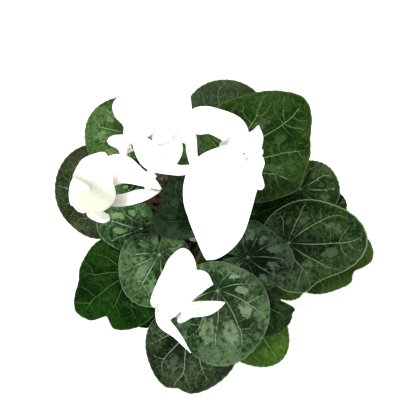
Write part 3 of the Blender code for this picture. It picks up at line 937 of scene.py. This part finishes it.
def make_leaf_stalk(name, leaf, seed, stands_for=()):
    path = leaf_stalk_path(leaf)
    radii = []
    for index in range(STALK_POINTS):
        share = index / (STALK_POINTS - 1)
        radii.append((1.7 - 0.6 * share + 0.12 * sin(9 * share + seed)) * MM)
    verts, faces, shares = tube(path, radii)
    add_piece(name, verts, faces, [shaded_leaf_stalk_skin], "stem", stands_for, share=shares)


for seed, (name, leaf) in enumerate(LEAVES.items()):
    make_leaf_stalk(f"stalk_{name}", leaf, seed, (f"leaf_stalk_{name}",))
for seed, (name, leaf) in enumerate(LOWER_LEAVES.items()):
    make_leaf_stalk(f"stalk_{name}", leaf, 50 + seed)


leaf_stalks = [piece for piece in bpy.data.objects if piece.name.startswith("stalk_")]
print("leaf stalks:", len(leaf_stalks))

# %% [markdown]
# ## Where the flowers are
# A cyclamen's flower hangs its face down and sweeps its five petals back and up. `mouth` is the centre of the
# ring that the petals spring from, and `bow` is how the stalk sets off from the crown. A petal springs from
# the ring, dips, and then its midline passes through the three places of its `path`, measured from the mouth.
# `left` and `right` are the distances from there to its two edges, `roll` turns it on edge at foot and tip,
# `point` sharpens its tip, and the last entry is how far a greenish painted shade runs up it from the foot, for
# the shadow in the throat and cup.

# %% The flower table
FLOWERS = {
    "right": dict(
        mouth=(16, 52, 232), root=(60, 3.9), bow=(0, 2, 60),
        petals=(
            dict(
                path=((-8, -16, 24), (-9, -41, 30), (-17, -65, 14)),
                left=(21.7, 16, 12.4), right=(20.5, 19, 6.2), roll=(0, 0), point=0.62,
            ),
            dict(
                path=((9, 6, 8), (13, 11, 20), (14, 16, 30)),
                left=(10.1, 5.5, 2.4), right=(10.7, 5.5, 1.8), roll=(0, 0), point=0.7,
            ),
            dict(
                path=((11, -6, 2), (15, -13, 0), (19, -21, 0)),
                left=(9.6, 3.9, 3.2), right=(8.3, 5.8, 5.1), roll=(0, 0), point=0.4,
            ),
            dict(
                path=((-21, -8, 6), (-28, 12, 18), (-28, 38, 30)),
                left=(5.7, 7.4, 5.9), right=(2.5, 6.1, 5.9), roll=(30, 74),
            ),
            dict(
                path=((-1, 13, 6), (-15, 21, 12), (-27, 20, 14)),
                left=(6.3, 8.1, 11.1), right=(10.8, 8.7, 10.5), roll=(0, 0), point=0.3, flush=0.7,
            ),
        ),
    ),
    "back_left": dict(
        mouth=(-44, 62, 226), root=(100, 3.9), bow=(-16, 46, 10),
        petals=(
            dict(
                path=((8, -11, 14), (24, -19, 22), (36, -18, 14)),
                left=(8.8, 3.1, 3.8), right=(7.5, 4, 3.8), roll=(0, 0), point=0.4,
            ),
            dict(
                path=((10, 10, 14), (15, 21, 24), (17, 29, 32)),
                left=(13.8, 12.9, 8.4), right=(13.8, 13.5, 9.6), roll=(0, 0),
            ),
            dict(
                path=((13, -1, 8), (21, -7, 12), (24, -15, 12)),
                left=(17.3, 8.2, 3.2), right=(11.5, 7.6, 3.8), roll=(0, 0), flush=0.9,
            ),
            dict(
                path=((-8, -1, 0), (-14, 0, 4), (-20, -1, 10)),
                left=(13.7, 5.8, 3.8), right=(5.2, 4.2, 3.8), roll=(0, 0), point=0.4,
            ),
            dict(
                path=((1, 12, 14), (-6, 18, 26), (-10, 25, 26)),
                left=(10.7, 8.5, 5.5), right=(11.3, 8.5, 6.1), roll=(0, 0),
            ),
        ),
    ),
    "left": dict(
        mouth=(-79, 24, 208), root=(180, 3.9), bow=(-20, 40, 30),
        petals=(
            dict(
                path=((18, 0, 6), (34, 3, 14), (48, 6, 18)),
                left=(4, 4.3, 2.6), right=(4, 4.3, 2.6), roll=(0, 0), point=0.7, flush=1.1,
            ),
            dict(
                path=((3, 8, 18), (9, 19, 32), (16, 29, 42)),
                left=(13, 11.3, 5.5), right=(17, 13.8, 8.6), roll=(0, 0), flush=1.35,
            ),
            dict(
                path=((19, 18, 18), (37, 14, 26), (49, 7, 24)),
                left=(11.7, 5.1, 3.9), right=(7.8, 5.1, 3.2), roll=(0, 0), point=0.7, flush=0.8,
            ),
            dict(
                path=((-1, -8, -2), (6, -11, -2), (13, -12, 4)),
                left=(4.1, 4.1, 3.4), right=(3.4, 4.1, 3.4), roll=(0, 0), point=0.4,
            ),
            dict(
                path=((-7, -2, 2), (-8, 7, 6), (-2, 19, 16)),
                left=(6.8, 6, 7.2), right=(6.1, 8.7, 8.5), roll=(0, 0),
            ),
        ),
    ),
    "front": dict(
        mouth=(-24, -47, 222), root=(-60, 3.9), bow=(-4, -6, 60),
        petals=(
            dict(
                path=((2, 13, 22), (7, 29, 34), (9, 41, 24)),
                left=(10.6, 9, 6.8), right=(12.5, 10.2, 7.4), roll=(0, 0), point=0.55,
            ),
            dict(
                path=((-5, -10, -6), (4, -18, 0), (13, -27, 10)),
                left=(4, 2.3, 1), right=(4.7, 2.6, 1.3), roll=(0, 0), point=0.8,
            ),
            dict(
                path=((-7, 5, 6), (-6, 13, 14), (-3, 24, 18)),
                left=(5.8, 4.5, 2.5), right=(3.9, 3.8, 2.5), roll=(0, 0),
            ),
            dict(
                path=((11, 9, 12), (18, 18, 20), (27, 18, 18)),
                left=(5.1, 9.4, 6.9), right=(3.8, 5.6, 3.1), roll=(0, 0), point=0.8,
            ),
            dict(
                path=((12, -2, -4), (24, 1, 0), (35, 5, 8)),
                left=(4.7, 4.3, 2.6), right=(5.3, 5.3, 3.2), roll=(0, 0), point=0.7,
            ),
        ),
    ),
}
NOD = radians(55)
RING_RADIUS = 6.2 * MM
CLAW = 4.4 * MM
CALYX_RADIUS = 4.6 * MM
CALYX_HEIGHT = 7 * MM
print("flowers:", len(FLOWERS), "petals:", sum(len(flower["petals"]) for flower in FLOWERS.values()))

# %% [markdown]
# ## The petal's skin
# The white is warm, and a greenish painted shade darkens it towards the foot. Very little else varies, so fine
# ribs along the petal and its shape do most of the work. A pure white would lose the ribs. The painted shade is
# mixed in strongly where a petal is cupped, which stands for the shadow inside the cup.

# %% Skin of a petal
def petal_finish():
    finish = Finish("petal_skin")
    share, side = finish.attribute("share"), finish.attribute("side")
    sheet = finish.unwrapped()
    ribs = finish.noise(sheet, 1.0, detail=3)
    cloud = finish.noise(finish.place(), 90)
    colour = finish.mix(cloud, (0.93, 0.92, 0.86), (0.96, 0.96, 0.94))
    # Painted shade: greenish grey towards the foot and in cupped petals, for the shadow there.
    flush = (finish.attribute("flush") - share * 1.8 + (ribs - 0.5) * 0.3).step(0.0, 0.5)
    colour = finish.mix(flush * 0.9, colour, (0.37, 0.38, 0.28))
    colour = finish.mix(ribs.step(0.5, 0.75) * 0.10, colour, (0.80, 0.84, 0.66))
    colour = finish.mix((side * side).step(0.9, 1.0) * 0.15, colour, (1.0, 1.0, 1.0))
    finish.set(Base_Color=colour, Roughness=ribs * 0.15 + 0.45, Specular_IOR_Level=0.3)
    finish.bump(ribs, 0.0003, 0.5)
    return finish.material


petal_skin = petal_finish()
print("nodes in the petal skin:", len(petal_skin.node_tree.nodes))

# %% [markdown]
# ## The midline and the width
# Midline and width are both smooth curves through known values, so one function serves for both. It is better
# here than a cubic with knots, because the petal then passes exactly where the table says. Towards the tip
# the width closes like an ellipse, or more sharply for a pointed petal.

# %% Curve and width of a petal
PETAL_ROWS = 52
PETAL_COLUMNS = 31
PETAL_THICKNESS = 0.45 * MM
STEPS = (0, 0.15, 0.42, 0.72, 1)


def through(values, step):
    """A smooth curve that passes through each value at its own step."""
    index = sum(step > known for known in STEPS[1:-1])

    def slope(where):
        low, high = max(where - 1, 0), min(where + 1, len(STEPS) - 1)
        return (values[high] - values[low]) / (STEPS[high] - STEPS[low])

    span = STEPS[index + 1] - STEPS[index]
    u = (step - STEPS[index]) / span
    ends = (2 * u**3 - 3 * u * u + 1) * values[index] + (3 * u * u - 2 * u**3) * values[index + 1]
    return ends + span * ((u**3 - 2 * u * u + u) * slope(index) + (u**3 - u * u) * slope(index + 1))


def half_width(widths, step, point):
    """Distance from the midline to one edge. A larger point makes a sharper tip."""
    towards_tip = max(0.0, (step - STEPS[3]) / (1 - STEPS[3]))
    width = through((CLAW / 2 / MM, CLAW / 2 / MM, *widths), step)
    return max(width * (1 - towards_tip * towards_tip) ** point, 0.3) * MM


print("half width of a petal halfway, mm:", round(half_width((10, 12, 8), 0.5, 0.5) / MM, 1))

# %% [markdown]
# ## Where a petal springs from
# The ring round the mouth is tilted, since the flower nods towards the crown. Three axes describe it: along
# the stalk, up, and across. The first petal springs from the top of the ring and lies over the stalk, and the
# others follow round it.

# %% The ring of petals
def flower_axes(flower):
    """Three axes at a flower's mouth: along its stalk, up, and across."""
    mouth = Vector(flower["mouth"])
    inward = Vector((-mouth.x, -mouth.y, 0)).normalized()
    along = sin(NOD) * inward + cos(NOD) * Vector((0, 0, 1))
    up = sin(NOD) * Vector((0, 0, 1)) - cos(NOD) * inward
    return along, up, up.cross(along)


def petal_frame(flower, index):
    """The places that a petal's midline passes through, and the direction across its foot."""
    turn = TURN * index / len(flower["petals"])
    along, up, over = flower_axes(flower)
    outward = cos(turn) * up + sin(turn) * over
    mouth = MM * Vector(flower["mouth"])
    foot = mouth + RING_RADIUS * outward
    dip = foot + 2.5 * MM * outward - (4 - 1.5 * cos(turn)) * MM * along
    path = [mouth + MM * Vector(place) for place in flower["petals"][index]["path"]]
    return [foot, dip] + path, along.cross(outward)


print("axis of the right flower:", [round(value, 2) for value in flower_axes(FLOWERS["right"])[0]])

# %% [markdown]
# ## The petal's sheet
# A petal is a soft sheet on its midline. It is a little hollow, its edge ruffles, a crease runs along its
# middle and low ribs beside it. The direction across turns from the ring's own at the foot to level further
# out, so that the foot fits the ring and the blade lies flat.

# %% Points of a petal
def petal_points(flower, index, seed):
    petal = flower["petals"][index]
    knots, tangent = petal_frame(flower, index)
    points = []
    for row in range(PETAL_ROWS):
        step = row / (PETAL_ROWS - 1)
        here = through(knots, step)
        ahead = (through(knots, min(step + 0.01, 1)) - through(knots, max(step - 0.01, 0))).normalized()
        level = Vector((0, 0, 1)).cross(ahead)
        sign = -1 if tangent.dot(level) < 0 else 1
        share = min(1, step / 0.35)
        across = (sign * tangent * (1 - share) + level * share).normalized()
        across = (across - across.dot(ahead) * ahead).normalized()
        first, last = petal["roll"]
        across = Matrix.Rotation(radians(first + (last - first) * step), 3, ahead) @ across
        face = ahead.cross(across).normalized()
        left, right = (half_width(petal[edge], step, petal.get("point", 0.5)) for edge in ("left", "right"))
        soft = min(1, min(left, right) / (6 * MM))
        for column in range(PETAL_COLUMNS):
            side = 2 * column / (PETAL_COLUMNS - 1) - 1
            ruffle = 0.9 * MM * side**4 * sin(11 * step + 2.5 * side + seed)
            crease = -0.35 * MM * exp(-((side / 0.12) ** 2))
            rib = 0.07 * MM * cos(14 * pi * side)
            half = left if side > 0 else right
            lift = 0.16 * half * side * side + soft * (ruffle + crease) + rib
            points.append(here + half * side * across + lift * face)
    return points


print("points in a petal:", len(petal_points(FLOWERS["right"], 0, 0)))

# %% [markdown]
# ## All the petals
# Each petal carries three numbers at its points for its material: its share of the length, its place across,
# and how strongly its painted shade is mixed in. Its UV map is stretched along its length, so plain noise turns
# into ribs.

# %% Build the petals
def make_petal(name, flower, index, seed, stands_for):
    points = petal_points(flower, index, seed)
    steps = [row / (PETAL_ROWS - 1) for row in range(PETAL_ROWS) for _ in range(PETAL_COLUMNS)]
    sides = [2 * column / (PETAL_COLUMNS - 1) - 1 for _ in range(PETAL_ROWS) for column in range(PETAL_COLUMNS)]
    faces = grid_faces(PETAL_ROWS, PETAL_COLUMNS)
    flush = [flower["petals"][index].get("flush", 0.4)] * len(points)
    piece = add_piece(
        name, points, faces, [petal_skin], "petal_white", stands_for, share=steps, side=sides, flush=flush
    )
    flat = piece.data.uv_layers.new(name="sheet")
    for loop in piece.data.loops:
        corner = loop.vertex_index
        flat.data[loop.index].uv = (12 * sides[corner] + seed, 1.5 * steps[corner] + seed)
    thicken(piece, PETAL_THICKNESS)


for number, (name, flower) in enumerate(FLOWERS.items()):
    for index in range(len(flower["petals"])):
        petal = f"petal_{name}_{index + 1}"
        make_petal("white_" + petal, flower, index, 10 * number + index, (petal,))


# %% [markdown]
# ## Flower stalks
# The stalk rises among the leaf stalks, hooks over at the top and ends in the calyx. The calyx is a small cup
# that holds the petals from behind. Stalk and cup are one tube whose radius swells at its end, which is how
# they grow.

# %% Path of a flower stalk
def flower_stalk_parts(flower):
    start = crown_point(flower["root"])
    mouth = MM * Vector(flower["mouth"])
    along = flower_axes(flower)[0]
    neck = mouth + CALYX_HEIGHT * along
    knots = (start, start + MM * Vector(flower["bow"]), neck + 16 * MM * along, neck)
    path = [bezier(knots, (step / 47) ** 0.8) for step in range(48)]
    radii = [1.75 * MM - 0.4 * MM * step / 47 for step in range(48)]
    path += [mouth + CALYX_HEIGHT * share * along for share in (0.9, 0.75, 0.55, 0.3, 0.1)]
    radii += [CALYX_RADIUS * share for share in (0.45, 0.7, 0.9, 1.0, 1.02)]
    return tube(path, radii)


print("points in a flower stalk:", len(flower_stalk_parts(FLOWERS["right"])[0]))

# %% [markdown]
# ## Sepals
# Five pointed sepals close the gaps between the petals. Each is a small bent grid that narrows to a point.
# They are merged with the stalk into one piece, because they have the same skin.

# %% Build the flower stalks
def sepal(flower, index):
    """One pointed lobe of the calyx, lying back along the petals."""
    along, up, over = flower_axes(flower)
    turn = TURN * (index + 0.5) / 5
    outward = cos(turn) * up + sin(turn) * over
    tangent = along.cross(outward)
    mouth = MM * Vector(flower["mouth"])
    verts, shares = [], []
    for row in range(9):
        step = row / 8
        centre = mouth + (CALYX_RADIUS + 0.5 * MM + 1.2 * MM * step) * outward + (3.5 - 8 * step) * MM * along
        half = 2.2 * MM * (1 - step) ** 0.7 + 0.1 * MM
        for column in range(5):
            side = column / 2 - 1
            verts.append(centre + half * side * tangent - 0.5 * MM * side * side * outward)
            shares.append(1.0)
    return verts, grid_faces(9, 5), shares


for name, flower in FLOWERS.items():
    parts = [flower_stalk_parts(flower)] + [sepal(flower, index) for index in range(5)]
    verts, faces, shares = merge(parts)
    add_piece(
        f"flower_stem_{name}", verts, faces, [flower_stalk_skin], "stem", (f"flower_stalk_{name}",), share=shares
    )


print("flower stalks:", len(FLOWERS))

# %% [markdown]
# ## The throat
# Inside the ring of petals is the short pale throat, with the style just showing. It is turned round the
# flower's axis from a short profile, and it has five faint lobes, one to a petal. It hides where the petals'
# feet meet.

# %% Throat of each flower
def make_throat(name, flower):
    """The pale ring that the petals spring from, with the style just showing."""
    along, up, over = flower_axes(flower)
    mouth = MM * Vector(flower["mouth"])
    verts, shares = [], []
    for reach, depth in ((6.6, 0.6), (6.9, -0.8), (6.2, -2.0), (5.2, -1.6), (4.6, 0.2), (3.6, 1.6), (0.3, 2.2)):
        for corner in range(40):
            angle = TURN * corner / 40
            lobe = 1 + 0.04 * cos(5 * angle)
            outward = cos(angle) * up + sin(angle) * over
            verts.append(mouth + reach * lobe * MM * outward + depth * MM * along)
            shares.append(0.2)
    ring = (verts, grid_faces(7, 40, closed=True), shares)
    style = tube([mouth + depth * MM * along for depth in (2, 0, -2, -4)], [0.5 * MM] * 4)
    verts, faces, shares = merge([ring, style])
    # The throat gets a strong painted shade, for the shadow inside the ring of petals.
    even = {"side": [0.0] * len(shares), "flush": [0.8] * len(shares)}
    add_piece(f"throat_{name}", verts, faces, [petal_skin], "petal_white", share=shares, **even)


for name, flower in FLOWERS.items():
    make_throat(name, flower)


print("throats:", len(FLOWERS))

# %% [markdown]
# ## Bud skin
# Between the stalks sit the plant's next flowers: furled buds on short hooked stalks. A bud's stalk is red-
# brown and the bud is pale with a dusky flush, so its colour changes at the place where the stalk ends.

# %% Skin of a bud
def bud_finish():
    finish = Finish("bud_skin")
    share = finish.attribute("share")
    streaks = finish.noise(finish.place(), 500, detail=2)
    colour = finish.mix(share.step(0.45, 0.75), (0.15, 0.055, 0.035), (0.40, 0.33, 0.27))
    colour = finish.mix(streaks * 0.5, colour, (0.22, 0.20, 0.10))
    finish.set(Base_Color=colour, Roughness=streaks * 0.2 + 0.45)
    finish.bump(streaks, 0.0002, 0.5)
    return finish.material


bud_skin = bud_finish()
print("bud skin:", bud_skin.name)

# %% [markdown]
# ## Buds
# A furled bud is its petals wound round each other. Modelling five wound sheets would be wasted on something
# so small. A tube that swells and closes, with flutes that turn along it, gives the same look. One bud stands
# for its solid, and five smaller ones fill the crown.

# %% Build the buds
BUD_SWELL = (1.2, 1.5, 2.2, 3.0, 3.6, 3.9, 3.9, 3.5, 2.9, 2.2, 1.4, 0.4)


def make_bud(name, start, tip, size=1.0, stands_for=()):
    """A furled bud: its petals are wound round each other, so its side is fluted in a spiral."""
    knots = (start, start + Vector((0, 0, 14 * MM)), tip - Vector((0, 0, 20 * MM)), tip)
    stem_steps = [0.6 * index / 19 for index in range(20)]
    bud_steps = [0.62 + 0.38 * index / 11 for index in range(12)]
    path = [bezier(knots, step) for step in stem_steps + bud_steps]
    radii = [1.2 * MM * size] * 20 + [swell * MM * size for swell in BUD_SWELL]
    verts, faces, shares = tube(path, radii, sides=20)
    for row in range(20, 32):
        for corner in range(20):
            spot = verts[row * 20 + corner]
            flute = 1 + 0.09 * cos(5 * TURN * corner / 20 + 0.5 * row)
            verts[row * 20 + corner] = path[row] + (spot - path[row]) * flute
    add_piece(name, verts, faces, [bud_skin], "stem", stands_for, share=shares)


make_bud("bud_main", crown_point((-120, 3.9)), MM * Vector((-12, -4, 150)), 1.0, ("flower_bud",))
SMALL_BUDS = (
    ((20, 6), (9, 3, 128), 0.7), ((150, 5), (-14, 14, 126), 0.65), ((250, 6.5), (-4, -15, 131), 0.75),
    ((300, 7), (8, -12, 124), 0.6), ((200, 6), (-22, 1, 134), 0.7),
)
for number, (root, tip, size) in enumerate(SMALL_BUDS):
    make_bud(f"bud_small_{number + 1}", crown_point(root), MM * Vector(tip), size)


print("buds:", 1 + len(SMALL_BUDS))

# %% [markdown]
# ## Peat
# Potting soil is crumbs of all sizes, so its material is a rough noise with many layers, nearly black in the
# hollows, and a few pale fibres. It hardly shines, because it is damp inside and dry at its surface.

# %% Peat
def soil_finish():
    finish = Finish("peat")
    where = finish.place()
    lumps = finish.noise(where, 260, detail=6, roughness=0.7)
    fibres = finish.noise(where, 1200, detail=2)
    colour = finish.mix(lumps.step(0.3, 0.7), (0.018, 0.011, 0.006), (0.085, 0.052, 0.030))
    colour = finish.mix(fibres.step(0.66, 0.74) * 0.6, colour, (0.24, 0.17, 0.10))
    finish.set(Base_Color=colour, Roughness=lumps * 0.1 + 0.88)
    finish.bump(lumps, 0.0012)
    return finish.material


peat = soil_finish()
print("nodes in the peat:", len(peat.node_tree.nodes))

# %% [markdown]
# ## The soil's surface
# The top of the soil is a sheet of rings, roughened by a fractal so that its edge against the pot is uneven
# too. It goes on down the side and under, because it is a closed body that fills the pot.

# %% Surface of the soil
SOIL_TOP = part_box("soil")[1][2]
SOIL_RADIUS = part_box("soil")[1][0]
SOIL_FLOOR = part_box("soil")[0][2]


def make_soil():
    """Rings from the middle out over the top, then down the side and back under."""
    profile = [(share * (SOIL_RADIUS - 0.8 * MM), SOIL_TOP - 0.6 * MM) for share in np.linspace(0.2, 1, 34)]
    profile += [(SOIL_RADIUS - 0.2 * MM, SOIL_TOP - 4 * MM), (SOIL_RADIUS - 13.6 * MM, SOIL_FLOOR)]
    profile += [(0.3 * SOIL_RADIUS, SOIL_FLOOR)]
    verts = []
    for radius, height in profile:
        for corner in range(150):
            angle = TURN * corner / 150
            spot = Vector((radius * cos(angle), radius * sin(angle), height))
            if height > SOIL_TOP - 1 * MM:
                spot.z += 1.1 * MM * noise.fractal(spot * 220, 0.8, 2.2, 5) - 0.5 * MM
            verts.append(spot)
    faces = grid_faces(len(profile), 150, closed=True)
    add_piece("soil_surface", verts, faces, [peat], "soil", ("soil",))


make_soil()
print("soil: top at", round(SOIL_TOP / MM, 1), "mm")

# %% [markdown]
# ## Crumbs
# A rough sheet alone looks like cloth. Some hundreds of small crumbs lie loose on it, each a rounded lump
# that is stretched and turned at random. They are one mesh, because hundreds of objects would be slow.

# %% Loose crumbs
CRUMBS = 420


def make_crumbs():
    """Loose crumbs and fibres lying on the soil."""
    random = np.random.default_rng(7)
    bm = bmesh.new()
    for _ in range(CRUMBS):
        bearing, distance = random.uniform(0, TURN), SOIL_RADIUS * (0.4 + 0.55 * random.random())
        size = random.uniform(0.4, 1.5) * MM
        spin = Matrix.Rotation(random.uniform(0, pi), 4, random.normal(size=3))
        stretch = Matrix.Diagonal((size, size * random.uniform(0.5, 1), size * random.uniform(0.4, 0.9), 1))
        spot = Matrix.Translation((distance * cos(bearing), distance * sin(bearing), SOIL_TOP - 0.5 * MM))
        bmesh.ops.create_icosphere(bm, subdivisions=1, radius=1, matrix=spot @ spin @ stretch)
    mesh = bpy.data.meshes.new("crumbs")
    bm.to_mesh(mesh)
    bm.free()
    crumbs = bpy.data.objects.new("soil_crumbs", mesh)
    bpy.context.scene.collection.objects.link(crumbs)
    crumbs.data.materials.append(peat)
    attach(crumbs, "root")


make_crumbs()
print("crumbs:", CRUMBS)

# %% [markdown]
# ## The tuber
# The tuber is a flattened ball with a corky, cracked skin. Its points are pushed in and out by a fractal, and
# the cracks are the edges of a net of cells, which is how dry cork splits.

# %% Tuber
def tuber_finish():
    finish = Finish("cork")
    where = finish.place()
    bark = finish.noise(where, 300, detail=5, roughness=0.6)
    cracks = finish.cells(where, 260)
    colour = finish.mix(bark.step(0.3, 0.7), (0.070, 0.038, 0.024), (0.21, 0.14, 0.09))
    colour = finish.mix((1 - cracks.step(0.0, 0.12)) * 0.7, colour, (0.030, 0.018, 0.012))
    finish.set(Base_Color=colour, Roughness=bark * 0.15 + 0.75)
    finish.bump(bark + cracks.step(0.0, 0.2) * 0.6, 0.0006)
    return finish.material


def make_tuber():
    verts, shares = [], []
    low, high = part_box("tuber")
    centre = Vector((0, 0, (low[2] + high[2]) / 2))
    for row in range(41):
        polar = pi * (row + 0.2) / 41
        for corner in range(80):
            angle = TURN * corner / 80
            way = Vector((sin(polar) * cos(angle), sin(polar) * sin(angle), cos(polar)))
            rough = 0.96 - 0.05 * abs(noise.fractal(way * 3.5, 0.8, 2.1, 5))
            spot = Vector((way.x * TUBER_RADIUS, way.y * TUBER_RADIUS, way.z * TUBER_HALF_HEIGHT))
            verts.append(centre + rough * spot)
    faces = [face[::-1] for face in grid_faces(41, 80, closed=True)]
    faces += [tuple(range(80)), tuple(range(len(verts) - 80, len(verts)))[::-1]]
    add_piece("tuber_skin", verts, faces, [tuber_finish()], "tuber", ("tuber",))


make_tuber()
print("tuber:", round(2 * TUBER_RADIUS / MM, 1), "mm across")

# %% [markdown]
# ## The pot
# The pot is moulded plastic in a terracotta colour: plain and slightly dull, with faint rings from the mould,
# scuffs, and some dust from the soil near its foot. Its solid has the full shape already, so it only gets
# this finish.

# %% Pot
def pot_finish():
    finish = Finish("pot_plastic")
    where = finish.place()
    height = finish.node("ShaderNodeSeparateXYZ", {}, {0: where}, output=2)
    scuffs = finish.noise(where, 70, detail=6, roughness=0.65)
    grain = finish.noise(where, 1800, detail=1)
    rings = (height * 2400).sine()
    dust = (1 - height.step(0.0, 0.045)) * scuffs.step(0.4, 0.75)
    colour = finish.mix(scuffs, (0.25, 0.085, 0.045), (0.34, 0.13, 0.075))
    colour = finish.mix(dust * 0.5, colour, (0.42, 0.30, 0.22))
    finish.set(Base_Color=colour, Roughness=scuffs * 0.25 + 0.36)
    finish.bump(rings * 0.4 + grain * 0.5, 0.0001, 0.6)
    return finish.material


nodes["pot"].data.materials.clear()
nodes["pot"].data.materials.append(pot_finish())
print("pot finish:", nodes["pot"].data.materials[0].name)

# %% [markdown]
